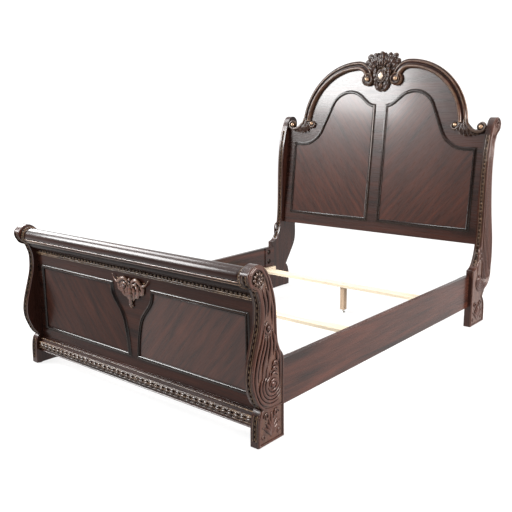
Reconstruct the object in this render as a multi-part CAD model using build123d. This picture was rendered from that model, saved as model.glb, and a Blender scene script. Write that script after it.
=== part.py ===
"""Queen size sleigh bed: footboard, headboard, side rails, slats and levelling legs.

Millimetres. X runs across the bed, Y from the foot to the head, Z up. While it is being modelled,
Y = 0 is the face where the side rails meet the footboard posts. Every piece is then moved so that
the origin lies on the floor, under the middle of the bed.
"""
from build123d import *
from math import asin, atan2, cos, degrees, hypot, radians, sin
import os

# ---------------------------------------------------------------- driving dimensions
RAIL_LENGTH = 1960.0            # from the footboard posts to the headboard posts
INNER_HALF = 793.0              # centre line of the bed to a post's inner face
POST_BOARD = 39.0               # thickness of a post board
CARVING_THICKNESS = 10.0        # carved face glued to the outside of a post
POST_GLIDE_HEIGHT = 4.0         # nylon glide under a post
POST_GLIDE_RADIUS = 15.0

# side rails and the bolted joint at each end
RAIL_BOTTOM = 134.0
RAIL_HEIGHT = 209.0
RAIL_THICKNESS = 25.0
RAIL_INSET = 29.0               # rail's outer face behind the carved faces
END_PLATE_LENGTH = 104.0
END_PLATE_THICKNESS = 6.0
BOLT_RADIUS = 4.0
BOLT_LENGTH = 110.0
BOLT_DEPTH = 34.0               # thread in the post
BOLT_TO_POST_FACE = 10.0        # bolt axis beyond the post's inner face
BOLT_HEIGHTS = (232.0, 306.0)
POCKET_RADIUS = 19.0
POCKET_FROM_END = 62.0
POCKET_WALL = 2.5               # wood left behind a pocket
WASHER_THICKNESS = 7.0
WASHER_WIDTH = 13.0
NUT_RADIUS = 7.0
NUT_THICKNESS = 7.0

# ledgers, slats and centre legs
LEDGER_WIDTH = 28.0
LEDGER_HEIGHT = 30.0
SLAT_SEAT = 188.0               # top of the ledgers, underside of the slats
SLAT_THICKNESS = 19.0
SLAT_WIDTH = 84.0
SLAT_END_GAP = 2.0
HEAD_SLAT_FROM_HEAD = 205.0
FOOT_SLAT_FROM_FOOT = 71.0
LEG_SIZE = 36.0
LEG_GAP_TO_FLOOR = 22.0
LEG_BOLT_RADIUS = 4.0
LEG_BOLT_DEPTH = 45.0
LEG_BOLT_HEAD_RADIUS = 9.0
LEG_BOLT_HEAD = 4.0
LEVELLER_STEM_RADIUS = 4.0
LEVELLER_STEM = 43.0
LEVELLER_PAD_RADIUS = 15.0
LEVELLER_PAD = 9.0
THREAD_CLEARANCE = 0.05
INSERT_RADIUS = 5.5
INSERT_LENGTH = 10.0
INSERT_FLANGE_RADIUS = 11.0
INSERT_FLANGE = 1.5
LEG_BORE_DEPTH = 46.0
SCREW_RADIUS = 2.2
SCREW_HEAD_RADIUS = 4.4
SCREW_HEAD = 2.4
SCREW_LENGTH = 38.0
LEDGER_SCREWS = 7
SLAT_SCREW_FROM_END = 10.0
SLAT_SCREW_SPACING = 44.0

# footboard
FOOT_PANEL_FACE = -122.0        # front face of the footboard panel
FOOT_PANEL_THICKNESS = 20.0
FOOT_CORE_THICKNESS = 30.0
FOOT_BACK_THICKNESS = 9.0
FOOT_CORE_WIDTH = 60.0
BASE_BOTTOM = 75.0
BASE_TOP = 155.0
FOOT_PANEL_TOP = 659.0
ROLL_Y = -169.0
ROLL_Z = 739.0
ROLL_RADIUS = 42.0
COLLAR_RADIUS = 48.0
COLLAR_WIDTH = 26.0
ROSETTE_RADIUS = 36.0
ROSETTE_THICKNESS = 9.0
BEAD_HEIGHT = 20.0
BEAD_DEPTH = 9.0
BASE_CARVING_HEIGHT = 32.0
BASE_CARVING_DEPTH = 9.0
FOOT_FIELD_BOTTOM = 209.0
FOOT_FIELD_TOP = 573.0
FIELD_TO_POST = 45.0            # plain stile between a field and the post
FIELD_THICKNESS = 4.0
FIELD_RECESS = 3.0              # depth that a veneered field is let in
MOULDING_WIDTH = 17.0
MOULDING_DEPTH = 9.0
MOULDING_STEP = 4.0
ORNAMENT_THICKNESS = 14.0
ORNAMENT_BOTTOM = 466.0

# headboard, with heights measured up the leaning panel from its bottom edge
LEAN = 6.42                     # degrees that the panel leans back
PANEL_BOTTOM = 523.0            # height of the panel's bottom edge above the floor
PANEL_SET_BACK = 133.0          # panel face at its bottom edge, behind the post faces
PANEL_THICKNESS = 20.0
SHOULDER_HEIGHT = 738.0
SHOULDER_WIDTH = 135.0          # from the arch's foot to the post
ARCH_SPRING = 750.0
ARCH_CENTRE = 202.0             # each half of the arch has its own centre
MOULDING_BAND = 62.0
ARCH_DEPTH = 26.0
ARCH_OVERLAP = 16.0             # arch moulding standing outside the panel's edge
VOLUTE_TURN = 130.0             # outside radius where the arch turns down beside the crest
VOLUTE_RADIUS = 46.0
HEAD_FIELD_BOTTOM = 78.0
HEAD_FIELD_SHOULDER = 620.0
HEAD_FIELD_TOP_MARGIN = 206.0   # arch top to the crown of a field
HEAD_FIELD_CROWN_DROP = 99.0    # crown of a field to its inner corner
HEAD_FIELD_INNER = 41.0
HEAD_FIELD_CROWN_X = 257.0
SHOULDER_CURVE = 178.0
CROWN_CURVE = 168.0
INNER_CURVE = 100.0
SHOULDER_FLAT = 80.0
HEAD_MOULDING_WIDTH = 20.0
CREST_DEPTH = 44.0
CREST_ABOVE_ARCH = 65.0
CREST_HALF_WIDTH = 141.0
JEWEL_BELOW_ARCH = 112.0
CORNER_DEPTH = 34.0
BACK_RAIL_HEIGHT = 80.0
BATTEN_WIDTH = 70.0
BATTEN_THICKNESS = 18.0
BATTEN_HEIGHT = 780.0

# beading on the front edges of the posts
BEADING_WIDTH = 20.0
BEADING_DEPTH = 5.0
BEADING_FROM_INNER = 13.0

# ---------------------------------------------------------------- derived sizes
OUTER_HALF = INNER_HALF + POST_BOARD + CARVING_THICKNESS
RAIL_OUTER = OUTER_HALF - RAIL_INSET
RAIL_INNER = RAIL_OUTER - RAIL_THICKNESS
RAIL_TOP = RAIL_BOTTOM + RAIL_HEIGHT
BOLT_X = INNER_HALF + BOLT_TO_POST_FACE
SLAT_HALF = RAIL_INNER - END_PLATE_THICKNESS - SLAT_END_GAP
SLAT_TOP = SLAT_SEAT + SLAT_THICKNESS
FOOT_CORE_FACE = FOOT_PANEL_FACE + FOOT_PANEL_THICKNESS
FOOT_BACK_FACE = FOOT_CORE_FACE + FOOT_CORE_THICKNESS
ARCH_RADIUS = INNER_HALF - SHOULDER_WIDTH - ARCH_CENTRE
BAND_FOOT = SHOULDER_HEIGHT + 62.0                              # where the arch meets the corner
VOLUTE_X = ARCH_CENTRE - VOLUTE_TURN + VOLUTE_RADIUS + 6.0      # centre of the crest volute
ARCH_TOP = ARCH_SPRING + ARCH_RADIUS
ARCH_FOOT = ARCH_CENTRE + ARCH_RADIUS
CREST_TOP = ARCH_TOP + CREST_ABOVE_ARCH

# the leaning plane of the headboard panel's face: x across, y up the slope, z towards the foot
HEAD_PLANE = Plane(
    origin=(0, RAIL_LENGTH + PANEL_SET_BACK, PANEL_BOTTOM),
    x_dir=(1, 0, 0),
    z_dir=(0, -cos(radians(LEAN)), sin(radians(LEAN))),
)
# the footboard panel's face: x across, y up, z towards the foot
FOOT_PLANE = Plane(origin=(0, FOOT_PANEL_FACE, 0), x_dir=(1, 0, 0), z_dir=(0, -1, 0))

# ---------------------------------------------------------------- post outlines
# side view points (y, z) of the footboard post, and of the headboard post measured from RAIL_LENGTH
FOOT_BACK_START = (0, 362)
FOOT_SCROLL = [
    (-9, 388), (-31, 419), (-43, 461), (-48, 527), (-51, 588), (-60, 644), (-75, 694), (-96, 743),
    (-128, 782), (-169, 799), (-207, 786), (-229, 755), (-220, 727), (-195, 708), (-167, 678),
]
FOOT_FRONT = [(-167, 678), (-152, 635), (-149, 588), (-155, 534), (-173, 470), (-194, 402),
              (-207, 343), (-206, 286), (-191, 239), (-167, 195), (-141, 171)]
FOOT_BLOCK = [(-141, 171), (-160, 151), (-170, 112), (-173, 56), (-173, POST_GLIDE_HEIGHT)]
HEAD_FRONT = [(12, 378), (40, 390), (68, 422), (91, 470), (108, 546), (116, 640), (121, 800),
              (125, 941), (135, 1063), (151, 1153), (172, 1225)]
HEAD_SCROLL = [(172, 1225), (195, 1284), (224, 1322), (258, 1333), (292, 1321), (311, 1290),
               (305, 1262), (288, 1244), (256, 1222), (235, 1188), (224, 1130), (214, 1012),
               (221, 874), (250, 686), (279, 554), (289, 442), (282, 359), (233, 271), (167, 176)]
HEAD_BLOCK = [(167, 176), (188, 152), (201, 112), (204, 56), (204, POST_GLIDE_HEIGHT)]


def smooth(points, start, end):
    """Smooth curve through points that leaves and arrives along the two directions."""
    return Spline(*points, tangents=[start, end], tangent_scalars=[1, 1])


def foot_front_curve():
    """Front of a footboard post above its foot block."""
    return smooth(FOOT_FRONT, (15, -43), (20, -14))


def foot_block_curve():
    """Front of a footboard post's foot block."""
    return smooth(FOOT_BLOCK, (-18, -8), (0, -1))


def foot_post_face():
    """Side view of a footboard post, as a face in (y, z)."""
    start = (0, POST_GLIDE_HEIGHT)
    edges = [
        Line(start, FOOT_BACK_START),
        smooth([FOOT_BACK_START, *FOOT_SCROLL], (0, 1), (15, -43)),
        foot_front_curve(),
        foot_block_curve(),
        Line(FOOT_BLOCK[-1], start),
    ]
    return make_face(edges)


def head_points(points):
    """Headboard outline points moved to the headboard end of the rails."""
    return [(y + RAIL_LENGTH, z) for y, z in points]


def head_front_curve():
    """Front of a headboard post above the rail joint."""
    return smooth(head_points(HEAD_FRONT), (12, 3), (22, 60))


def head_post_face():
    """Side view of a headboard post, as a face in (y, z)."""
    start = (RAIL_LENGTH, POST_GLIDE_HEIGHT)
    ledge = (RAIL_LENGTH, 376)
    scroll = head_points(HEAD_SCROLL)
    block = head_points(HEAD_BLOCK)
    edges = [
        Line(start, ledge),
        Line(ledge, head_front_curve() @ 0),
        head_front_curve(),
        smooth(scroll, (22, 60), (-35, -50)),
        smooth(block, (18, -10), (0, -1)),
        Line(block[-1], start),
    ]
    return make_face(edges)


def from_side(face, x_from, thickness):
    """A board with its outline in (y, z), from x_from outwards on the right of the bed."""
    return extrude(Plane.YZ.offset(x_from) * face, thickness)


def ribbon(curve, start, end, depth, count=24):
    """Face between part of a curve and its parallel, depth to the curve's left."""
    part = curve.trim(start, end)
    shifted = []
    for i in range(count + 1):
        at = part @ (i / count)
        along = part % (i / count)
        shifted.append((at.X - along.Y * depth, at.Y + along.X * depth))
    edge = Spline(*shifted)
    return make_face([part, Line(part @ 1, edge @ 1), edge, Line(edge @ 0, part @ 0)])


def on_both_sides(right):
    """The right hand piece and its mirror image."""
    return mirror(right, about=Plane.YZ), right


def box(x_range, y_range, z_range):
    """A block given by its lowest and highest corners."""
    size = [high - low for low, high in (x_range, y_range, z_range)]
    middle = [(high + low) / 2 for low, high in (x_range, y_range, z_range)]
    return Pos(*middle) * Box(*size)


def rod(start, direction, radius, length):
    """A round rod from start along direction."""
    return extrude(Plane(origin=start, z_dir=direction) * Circle(radius), length)


def along_x(face, half):
    """A moulding with its section in (y, z), from -half to half."""
    return extrude(Plane.YZ.offset(-half) * face, 2 * half)


# ---------------------------------------------------------------- fasteners
def rail_bolt_places():
    """Each rail bolt: its x, z, the post face it enters and the way it points."""
    places = []
    for x in (-BOLT_X, BOLT_X):
        for z in BOLT_HEIGHTS:
            places.append((x, z, 0.0, -1))
            places.append((x, z, RAIL_LENGTH, 1))
    return places


def rail_bolt(place):
    """Hanger bolt from the rail's pocket into a post."""
    x, z, face, way = place
    return rod((x, face + way * BOLT_DEPTH, z), (0, -way, 0), BOLT_RADIUS, BOLT_LENGTH)


def rail_pocket(place):
    """Round pocket in the rail's inner face, with the nut and washer in it."""
    x, z, face, way = place
    side = 1 if x > 0 else -1
    inner = RAIL_INNER - END_PLATE_THICKNESS
    depth = RAIL_OUTER - POCKET_WALL - inner
    return rod((side * inner, face - way * POCKET_FROM_END, z), (side, 0, 0), POCKET_RADIUS, depth)


def rail_washer(place):
    """Half-moon washer that fills the side of the pocket nearest the post."""
    x, z, face, way = place
    centre = face - way * POCKET_FROM_END
    seat = centre + way * (POCKET_RADIUS - WASHER_THICKNESS)
    round_part = rod((x - WASHER_WIDTH / 2, centre, z), (1, 0, 0), POCKET_RADIUS, WASHER_WIDTH)
    beyond = seat + way * POCKET_RADIUS
    y_range = (min(seat, beyond), max(seat, beyond))
    keep = box((x - WASHER_WIDTH, x + WASHER_WIDTH), y_range, (z - POCKET_RADIUS, z + POCKET_RADIUS))
    return (round_part & keep) - rail_bolt(place)


def rail_nut(place):
    """Hexagon nut against the flat of the half-moon washer."""
    x, z, face, way = place
    seat = face - way * (POCKET_FROM_END - POCKET_RADIUS + WASHER_THICKNESS)
    plane = Plane(origin=(x, seat, z), z_dir=(0, -way, 0))
    return extrude(plane * RegularPolygon(NUT_RADIUS, 6, rotation=30), NUT_THICKNESS) - rail_bolt(place)


def screw(head, direction):
    """Countersunk wood screw with its head's face at head."""
    plane = Plane(origin=head, z_dir=direction)
    cone = plane * Pos(0, 0, SCREW_HEAD / 2) * Cone(SCREW_HEAD_RADIUS, SCREW_RADIUS, SCREW_HEAD)
    return cone + rod(head, direction, SCREW_RADIUS, SCREW_LENGTH)


def ledger_screws(side):
    """Screws through one ledger into its rail."""
    pitch = (RAIL_LENGTH - 2 * END_PLATE_LENGTH) / (LEDGER_SCREWS - 1)
    inner = side * (RAIL_INNER - LEDGER_WIDTH)
    z = SLAT_SEAT - LEDGER_HEIGHT / 2
    return [
        screw((inner, END_PLATE_LENGTH + i * pitch, z), (side, 0, 0))
        for i in range(LEDGER_SCREWS)
    ]


def slat_screws(y):
    """Two screws at each end of a slat, into the ledgers."""
    screws = []
    for side in (-1, 1):
        for step in (-SLAT_SCREW_SPACING / 2, SLAT_SCREW_SPACING / 2):
            head = (side * (SLAT_HALF - SLAT_SCREW_FROM_END), y + step, SLAT_TOP)
            screws.append(screw(head, (0, 0, -1)))
    return screws


# ---------------------------------------------------------------- posts
def post_glides(y_low, y_high):
    """Two glides under a post, near the ends of its foot."""
    x = INNER_HALF + POST_BOARD / 2
    ends = (y_low + POST_GLIDE_RADIUS + 12, y_high - POST_GLIDE_RADIUS - 12)
    return [
        Pos(side * x, y, POST_GLIDE_HEIGHT / 2) * Cylinder(POST_GLIDE_RADIUS, POST_GLIDE_HEIGHT)
        for side in (-1, 1) for y in ends
    ]


def post_pieces(face, bolts):
    """Post board and carved face for the right of the bed."""
    board = from_side(face, INNER_HALF, POST_BOARD)
    for bolt in bolts:
        board -= bolt
    carving = from_side(face, INNER_HALF + POST_BOARD, CARVING_THICKNESS)
    return board, carving


def beading(strips):
    """Beaded strips on the front edge of a right hand post."""
    x = INNER_HALF + BEADING_FROM_INNER
    return [from_side(strip, x, BEADING_WIDTH) for strip in strips]


# ---------------------------------------------------------------- footboard
def foot_field_face(inset=0.0):
    """Right hand field of the footboard, in the panel's plane, drawn inwards by inset."""
    outer = INNER_HALF - FIELD_TO_POST - inset
    low = FOOT_FIELD_BOTTOM + inset
    high = FOOT_FIELD_TOP - inset
    vase = [(140, high), (137, 525), (108, 478), (66, 424), (42, 350), (30, 275), (26, low)]
    side = [(x + inset, z) for x, z in vase]
    edges = [
        Line(side[-1], (outer, low)),
        Line((outer, low), (outer, high)),
        Line((outer, high), side[0]),
        smooth(side, (0, -1), (0, -1)),
    ]
    return make_face(edges)


def moulding_frame(field_face, width, plane):
    """Applied moulding of two steps around a field whose outline is field_face(inset)."""
    low = field_face() - field_face(width)
    high = field_face(MOULDING_STEP) - field_face(width - MOULDING_STEP)
    frame = extrude(plane * low, MOULDING_DEPTH / 2)
    return frame + extrude(plane * high, MOULDING_DEPTH)


def footboard_cap():
    """Rail under the roll: a cove in front and the curved back of the footboard."""
    start = (FOOT_PANEL_FACE - 4, FOOT_PANEL_TOP)
    cove_end = (ROLL_Y, ROLL_Z - ROLL_RADIUS + 3)
    back = [(FOOT_BACK_FACE, FOOT_PANEL_TOP), (-80, 696), (-102, 740), (-134, 768)]
    edges = [
        RadiusArc(start, cove_end, ROLL_RADIUS + 1),
        Line(cove_end, (ROLL_Y, ROLL_Z)),
        Line((ROLL_Y, ROLL_Z), back[-1]),
        Spline(*reversed(back)),
        Line(back[0], start),
    ]
    cap = along_x(make_face(edges), INNER_HALF)
    return cap - roll()


def roll():
    """Turned roll along the top of the footboard."""
    return rod((-INNER_HALF, ROLL_Y, ROLL_Z), (1, 0, 0), ROLL_RADIUS, 2 * INNER_HALF)


def collar():
    """Turned collar around the right hand end of the roll."""
    start = INNER_HALF - COLLAR_WIDTH
    ring = rod((start, ROLL_Y, ROLL_Z), (1, 0, 0), COLLAR_RADIUS, COLLAR_WIDTH)
    ring = fillet(ring.edges().filter_by(GeomType.CIRCLE), 4)
    return ring - roll() - footboard_cap()


def rosette(x, y, z):
    """Domed rosette on the outside of a post's scroll."""
    dome = rod((x, y, z), (1, 0, 0), ROSETTE_RADIUS, ROSETTE_THICKNESS)
    rim = dome.faces().sort_by(Axis.X)[-1].edges()
    return chamfer(rim, 4)


def base_rail():
    """Moulded rail along the bottom of the footboard."""
    face = FOOT_PANEL_FACE
    back = FOOT_BACK_FACE + FOOT_BACK_THICKNESS
    step = BASE_TOP - 27
    foot = BASE_BOTTOM + 16
    edges = Polyline(
        (back, BASE_BOTTOM), (back, BASE_TOP), (face - 4, BASE_TOP), (face - 4, BASE_TOP - 8),
        (face - 14, BASE_TOP - 12), (face - 22, step), (face - 28, step), (face - 28, foot),
    )
    nose = RadiusArc((face - 28, foot), (face - 28, BASE_BOTTOM), 8.5)
    close = Line((face - 28, BASE_BOTTOM), (back, BASE_BOTTOM))
    return along_x(make_face([*edges.edges(), nose, close]), INNER_HALF)


def base_carving():
    """Carved half-round strip on the base rail."""
    y = FOOT_PANEL_FACE - 28
    low = BASE_BOTTOM + 18.5
    high = low + BASE_CARVING_HEIGHT
    arc = ThreePointArc((y, low), (y - BASE_CARVING_DEPTH, (low + high) / 2), (y, high))
    return along_x(make_face([arc, Line((y, high), (y, low))]), INNER_HALF)


def bead_moulding():
    """Beaded strip along the top of the footboard panel."""
    y = FOOT_PANEL_FACE
    low = FOOT_PANEL_TOP - BEAD_HEIGHT
    middle = (y - BEAD_DEPTH, low + BEAD_HEIGHT / 2)
    arc = ThreePointArc((y, low), middle, (y, FOOT_PANEL_TOP))
    return along_x(make_face([arc, Line((y, FOOT_PANEL_TOP), (y, low))]), INNER_HALF)


def ornament():
    """Horned leaf ornament at the head of the footboard's centre stile."""
    half = [(0, 0), (14, 28), (22, 70), (40, 92), (78, 100), (104, 118), (132, 145), (96, 134),
            (62, 142), (34, 136), (12, 124), (0, 138)]
    right = [(x, ORNAMENT_BOTTOM + z) for x, z in half]
    left = [(-x, z) for x, z in reversed(right[1:-1])]
    return extrude(FOOT_PLANE * make_face(Polyline(*right, *left, right[0])), ORNAMENT_THICKNESS)


def footboard_pieces():
    """Every footboard piece between the posts."""
    y0, y1 = FOOT_PANEL_FACE, FOOT_CORE_FACE
    panel = box((-INNER_HALF, INNER_HALF), (y0, y1), (BASE_TOP, FOOT_PANEL_TOP))
    recess = FOOT_PLANE.offset(-FIELD_RECESS)
    field = extrude(recess * foot_field_face(MOULDING_WIDTH / 2), FIELD_THICKNESS)
    fields = on_both_sides(field)
    for piece in fields:
        panel -= piece
    frame = moulding_frame(foot_field_face, MOULDING_WIDTH, FOOT_PLANE)
    frames = on_both_sides(frame - field)
    core = (y1, FOOT_BACK_FACE)
    across = (-INNER_HALF, INNER_HALF)
    low = (BASE_TOP, BASE_TOP + FOOT_CORE_WIDTH)
    high = (FOOT_PANEL_TOP - FOOT_CORE_WIDTH, FOOT_PANEL_TOP)
    half = FOOT_CORE_WIDTH / 2
    stiles = [
        box((x - half, x + half), core, (low[1], high[0]))
        for x in (-INNER_HALF + half, 0, INNER_HALF - half)
    ]
    back_range = (FOOT_BACK_FACE, FOOT_BACK_FACE + FOOT_BACK_THICKNESS)
    cap = footboard_cap()
    collars = on_both_sides(collar())
    return {
        "footboard_top_roll": [roll()],
        "footboard_roll_collars": list(collars),
        "footboard_cove_rail": [cap],
        "footboard_bead_moulding": [bead_moulding()],
        "footboard_panel": [panel],
        "footboard_left_field": [fields[0]],
        "footboard_right_field": [fields[1]],
        "footboard_left_moulding": [frames[0]],
        "footboard_right_moulding": [frames[1]],
        "footboard_ornament": [ornament()],
        "footboard_core_frame": [box(across, core, low), box(across, core, high), *stiles],
        "footboard_back_panel": [box(across, back_range, (BASE_TOP, FOOT_PANEL_TOP))],
        "footboard_base_rail": [base_rail()],
        "footboard_base_carving": [base_carving()],
    }


# ---------------------------------------------------------------- headboard
def rising_curve(start, end, low_radius, high_radius):
    """Edges from a level start up to a level end: arc, straight and arc.

    The radii are reduced together where the rise has no room for them.
    """
    run = abs(end[0] - start[0])
    rise = end[1] - start[1]
    way = 1 if end[0] > start[0] else -1
    room = (run * run + rise * rise) / (2 * rise)
    share = min(1.0, 0.98 * room / (low_radius + high_radius))
    low, high = low_radius * share, high_radius * share
    both = low + high
    side = both - rise
    turn = asin(both / hypot(run, side)) - atan2(side, run)
    leave = (start[0] + way * low * sin(turn), start[1] + low * (1 - cos(turn)))
    arrive = (end[0] - way * high * sin(turn), end[1] - high * (1 - cos(turn)))
    half = turn / 2
    low_middle = (start[0] + way * low * sin(half), start[1] + low * (1 - cos(half)))
    high_middle = (end[0] - way * high * sin(half), end[1] - high * (1 - cos(half)))
    return [
        ThreePointArc(start, low_middle, leave),
        Line(leave, arrive),
        ThreePointArc(arrive, high_middle, end),
    ]


def head_field_face(inset=0.0):
    """Right hand field of the headboard, in the panel's plane, drawn inwards by inset."""
    inner = HEAD_FIELD_INNER + inset
    outer = INNER_HALF - FIELD_TO_POST - 17 - inset
    low = HEAD_FIELD_BOTTOM + inset
    crown = (HEAD_FIELD_CROWN_X, ARCH_TOP - HEAD_FIELD_TOP_MARGIN - inset)
    corner = (inner, crown[1] - HEAD_FIELD_CROWN_DROP)
    shoulder = (outer, HEAD_FIELD_SHOULDER - inset)
    rise_start = (outer - SHOULDER_FLAT + inset, shoulder[1])
    edges = [
        Line((inner, low), (outer, low)),
        Line((outer, low), shoulder),
        Line(shoulder, rise_start),
        *rising_curve(rise_start, crown, SHOULDER_CURVE + inset, CROWN_CURVE - inset),
        *rising_curve(corner, crown, INNER_CURVE + inset, CROWN_CURVE - inset),
        Line(corner, (inner, low)),
    ]
    return make_face(edges)


def head_panel_face():
    """Outline of the arched headboard panel."""
    radius = ARCH_RADIUS - ARCH_OVERLAP
    top = ARCH_SPRING + radius
    foot = ARCH_CENTRE + radius
    diagonal = radius * cos(radians(45))
    right_arc = ThreePointArc(
        (foot, ARCH_SPRING), (ARCH_CENTRE + diagonal, ARCH_SPRING + diagonal), (ARCH_CENTRE, top)
    )
    left_arc = ThreePointArc(
        (-ARCH_CENTRE, top), (-ARCH_CENTRE - diagonal, ARCH_SPRING + diagonal), (-foot, ARCH_SPRING)
    )
    edges = [
        Line((-INNER_HALF, 0), (INNER_HALF, 0)),
        Line((INNER_HALF, 0), (INNER_HALF, SHOULDER_HEIGHT)),
        Line((INNER_HALF, SHOULDER_HEIGHT), (foot, SHOULDER_HEIGHT)),
        Line((foot, SHOULDER_HEIGHT), (foot, ARCH_SPRING)),
        right_arc,
        Line((ARCH_CENTRE, top), (-ARCH_CENTRE, top)),
        left_arc,
        Line((-foot, ARCH_SPRING), (-foot, SHOULDER_HEIGHT)),
        Line((-foot, SHOULDER_HEIGHT), (-INNER_HALF, SHOULDER_HEIGHT)),
        Line((-INNER_HALF, SHOULDER_HEIGHT), (-INNER_HALF, 0)),
    ]
    return make_face(edges)


def band(centre, outer_radius, start_angle, end_angle):
    """Part of a ring as wide as the arch moulding, as a face."""
    inner_radius = outer_radius - MOULDING_BAND
    middle = radians((start_angle + end_angle) / 2)
    start, end = radians(start_angle), radians(end_angle)

    def at(radius, angle):
        return (centre[0] + radius * cos(angle), centre[1] + radius * sin(angle))

    return make_face([
        ThreePointArc(at(outer_radius, start), at(outer_radius, middle), at(outer_radius, end)),
        Line(at(outer_radius, end), at(inner_radius, end)),
        ThreePointArc(at(inner_radius, end), at(inner_radius, middle), at(inner_radius, start)),
        Line(at(inner_radius, start), at(outer_radius, start)),
    ])


def arch_moulding():
    """Right half of the arch moulding, ending in a volute beside the crest."""
    foot_angle = degrees(asin((BAND_FOOT - ARCH_SPRING) / ARCH_RADIUS))
    sweep = band((ARCH_CENTRE, ARCH_SPRING), ARCH_RADIUS, foot_angle, 90)
    turn_centre = (ARCH_CENTRE, ARCH_TOP - VOLUTE_TURN)
    turn = band(turn_centre, VOLUTE_TURN, 90, 205)
    volute = Pos(VOLUTE_X, turn_centre[1] - 7) * Circle(VOLUTE_RADIUS)
    return extrude(HEAD_PLANE * (sweep + turn + volute), ARCH_DEPTH)


def corner_scroll(arch):
    """Right hand corner carving: leaf and two volutes where the arch meets the shoulder."""
    inner = ARCH_FOOT - MOULDING_BAND
    low = SHOULDER_HEIGHT
    leaf = [
        (inner - 6, low + 62), (ARCH_FOOT - 6, low + 62), (ARCH_FOOT + 10, low + 40),
        (ARCH_FOOT + 42, low + 21), (ARCH_FOOT + 77, low + 16), (ARCH_FOOT + 112, low - 16),
        (ARCH_FOOT + 55, low - 26), (ARCH_FOOT + 24, low - 40), (ARCH_FOOT - 8, low - 20),
        (ARCH_FOOT - 36, low - 30), (ARCH_FOOT - 61, low), (ARCH_FOOT - 73, low + 6),
    ]
    face = make_face(Polyline(*leaf, leaf[0]))
    face += Pos(ARCH_FOOT - 87, low + 26) * Circle(21)
    face += Pos(ARCH_FOOT + 98, low + 12) * Circle(31)
    return extrude(HEAD_PLANE * face, CORNER_DEPTH) - arch


def crest(arches, jewel):
    """Carved leaf crest over the middle of the arch."""
    wing = CREST_HALF_WIDTH
    top = CREST_TOP
    half = [(0, top), (28, top - 11), (46, top - 41), (86, top - 27), (120, top - 35),
            (wing, top - 45), (wing - 9, top - 71), (95, top - 76), (68, top - 148),
            (76, top - 213), (50, top - 256), (0, top - 276)]
    left = [(-x, z) for x, z in reversed(half[1:-1])]
    body = extrude(HEAD_PLANE * make_face(Polyline(*half, *left, half[0])), CREST_DEPTH)
    for arch in arches:
        body -= arch
    return body - jewel


def crest_jewel():
    """Oval cabochon set in the crest."""
    middle = HEAD_PLANE * Pos(0, ARCH_TOP - JEWEL_BELOW_ARCH, CREST_DEPTH)
    return middle * scale(Sphere(18), by=(0.85, 1.25, 0.6))


def headboard_pieces():
    """Every headboard piece between the posts."""
    panel = extrude(HEAD_PLANE * head_panel_face(), -PANEL_THICKNESS)
    recess = HEAD_PLANE.offset(-FIELD_RECESS)
    width = HEAD_MOULDING_WIDTH
    field = extrude(recess * head_field_face(width / 2), FIELD_THICKNESS)
    fields = on_both_sides(field)
    for piece in fields:
        panel -= piece
    frame = moulding_frame(head_field_face, width, HEAD_PLANE)
    frames = on_both_sides(frame - field)
    arches = on_both_sides(arch_moulding())
    corners = on_both_sides(corner_scroll(arches[1]))
    jewel = crest_jewel()
    back = HEAD_PLANE.offset(-PANEL_THICKNESS)

    def batten(x, low, wide, high):
        return extrude(back * Pos(x, low + high / 2) * Rectangle(wide, high), -BATTEN_THICKNESS)

    spread = INNER_HALF / 2
    battens = [
        batten(x, BACK_RAIL_HEIGHT, BATTEN_WIDTH, BATTEN_HEIGHT) for x in (-spread, 0, spread)
    ]
    return {
        "headboard_panel": [panel],
        "headboard_left_field": [fields[0]],
        "headboard_right_field": [fields[1]],
        "headboard_left_moulding": [frames[0]],
        "headboard_right_moulding": [frames[1]],
        "headboard_left_arch_moulding": [arches[0]],
        "headboard_right_arch_moulding": [arches[1]],
        "headboard_left_corner_scroll": [corners[0]],
        "headboard_right_corner_scroll": [corners[1]],
        "headboard_crest": [crest(arches, jewel)],
        "headboard_crest_jewel": [jewel],
        "headboard_back_frame": [batten(0, 0, 2 * INNER_HALF, BACK_RAIL_HEIGHT), *battens],
    }


# ---------------------------------------------------------------- rails and slats
def side_rail(side, cuts):
    """One side rail with its pockets and holes."""
    x_range = (RAIL_INNER, RAIL_OUTER) if side > 0 else (-RAIL_OUTER, -RAIL_INNER)
    rail = box(x_range, (0, RAIL_LENGTH), (RAIL_BOTTOM, RAIL_TOP))
    for cut in cuts:
        rail -= cut
    return rail


def ledger(side, cuts):
    """Strip on the inside of one rail that carries the slats."""
    inner = RAIL_INNER - LEDGER_WIDTH
    x_range = (inner, RAIL_INNER) if side > 0 else (-RAIL_INNER, -inner)
    strip = box(x_range, (5, RAIL_LENGTH - 5), (SLAT_SEAT - LEDGER_HEIGHT, SLAT_SEAT))
    for cut in cuts:
        strip -= cut
    return strip


def end_plates(cuts):
    """Hardwood plates inside the rail ends, where the bolts are tightened."""
    plates = []
    for side in (-1, 1):
        for low in (0, RAIL_LENGTH - END_PLATE_LENGTH):
            inner = RAIL_INNER - END_PLATE_THICKNESS
            x_range = (inner, RAIL_INNER) if side > 0 else (-RAIL_INNER, -inner)
            plate = box(x_range, (low, low + END_PLATE_LENGTH), (SLAT_SEAT + 2, RAIL_TOP - 2))
            for cut in cuts:
                plate -= cut
            plates.append(plate)
    return plates


def slat(y, cuts):
    """One pine slat across the bed."""
    half = SLAT_WIDTH / 2
    board = box((-SLAT_HALF, SLAT_HALF), (y - half, y + half), (SLAT_SEAT, SLAT_TOP))
    for cut in cuts:
        board -= cut
    return board


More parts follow.
